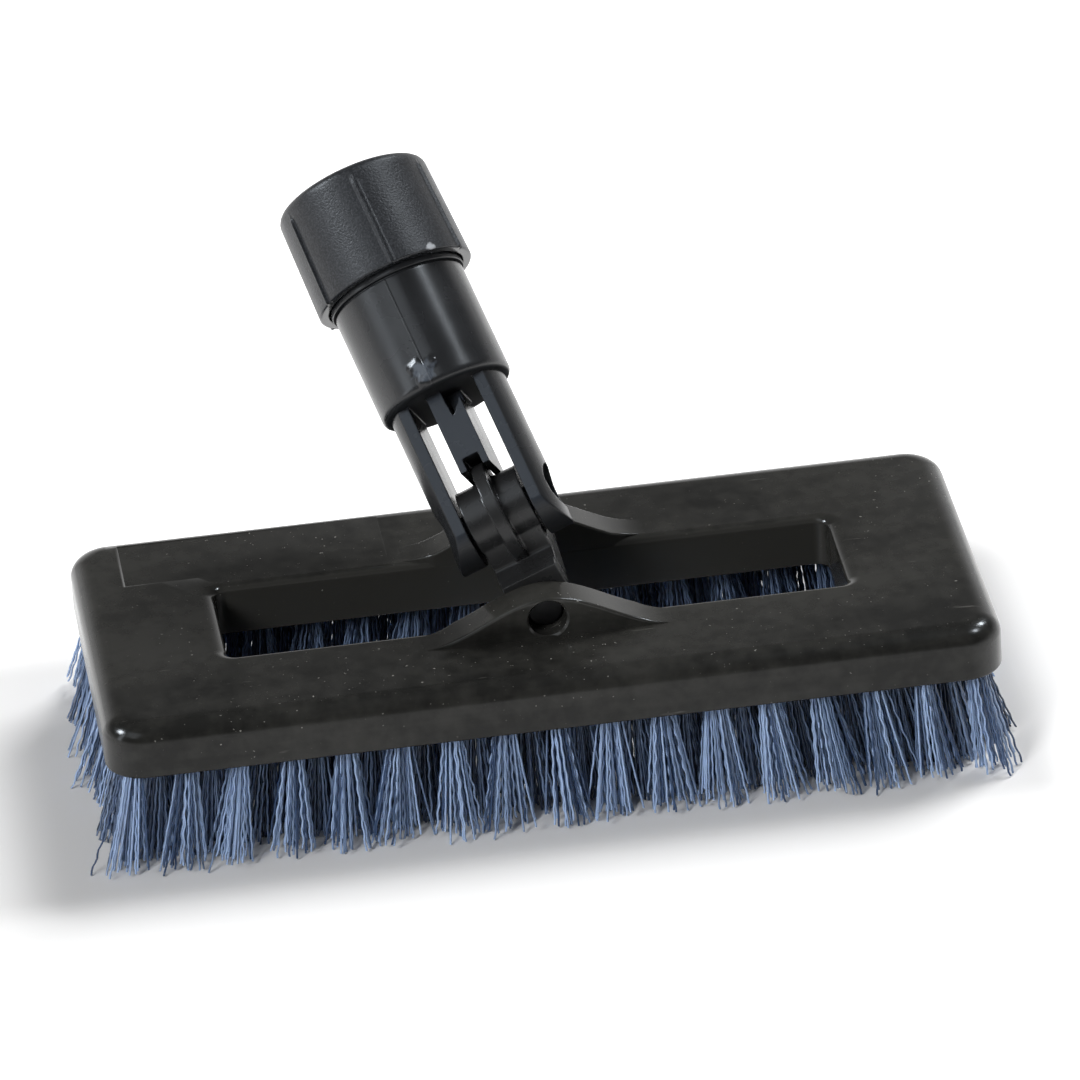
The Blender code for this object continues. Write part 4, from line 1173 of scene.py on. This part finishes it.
def build_floor():
    """A pale floor that keeps the brush's shadow, and glows so that it reads as white; the glow fades out
    round the bristles, which paints a darker shade there.
    """
    bm = bmesh.new()
    bmesh.ops.create_grid(bm, x_segments=1, y_segments=1, size=FLOOR_SIZE / 2)
    floor = scratch_object("floor", bm)
    material = bpy.data.materials.new("floor")
    graph = Graph(material)
    graph.tree.nodes.clear()
    rays = graph.node("ShaderNodeLightPath").outputs
    seen = graph.maths("MAXIMUM", rays["Is Camera Ray"], rays["Is Glossy Ray"])
    glow = graph.node("ShaderNodeEmission", WHITE, graph.maths("MULTIPLY", seen, painted_floor_glow(graph)))
    matt = graph.node("ShaderNodeBsdfDiffuse", FLOOR_COLOUR)
    both = graph.node("ShaderNodeAddShader", matt.outputs[0], glow.outputs[0])
    graph.node("ShaderNodeOutputMaterial", both.outputs[0])
    floor.data.materials.append(material)


def build_light():
    """Lamps that light, cool ones that are only mirrored, the world and the floor."""
    for settings in MATT_LAMPS:
        softbox(*settings).visible_glossy = False
    for settings in SHEEN_LAMPS:
        lamp = softbox(*settings)
        lamp.visible_diffuse = False
        lamp.data.color = SHEEN_COLOUR
    build_world()
    build_floor()


def build_camera():
    back = direction(CAMERA_AZIMUTH, CAMERA_ELEVATION)
    right = direction(CAMERA_AZIMUTH + 90, 0)
    turned_right = Matrix.Rotation(math.radians(CAMERA_ROLL), 3, back) @ right
    data = bpy.data.cameras.new("photo")
    having(data, lens=CAMERA_LENS, clip_end=CAMERA_REACH)
    camera = placed("photo", data)
    camera.matrix_world = frame_at(CAMERA_TARGET + back * CAMERA_DISTANCE, turned_right, back)
    bpy.context.scene.camera = camera
    bpy.context.scene.view_settings.view_transform = "Standard"


KNUCKLE_FRAME = frame_at(TILT_PLACE, ACROSS_FORK, UP_KNUCKLE)
HANDLE_FRAME = frame_at(LEAN_PLACE, ACROSS_FORK, UP_HANDLE)

build_camera()
build_light()
build_block(block_plastic())
build_pins(dark_steel())
build_knuckle(knuckle_plastic())
build_yoke(socket_plastic())
build_nut(nut_plastic())
build_collet(collet_nylon())
build_bristles(
    bristle_fibre("bristle_fibre", *OUTER_FIBRE_TONES),
    bristle_fibre("bristle_fibre_painted_shade", *SHADED_INSIDE_FIBRE_TONES),
)
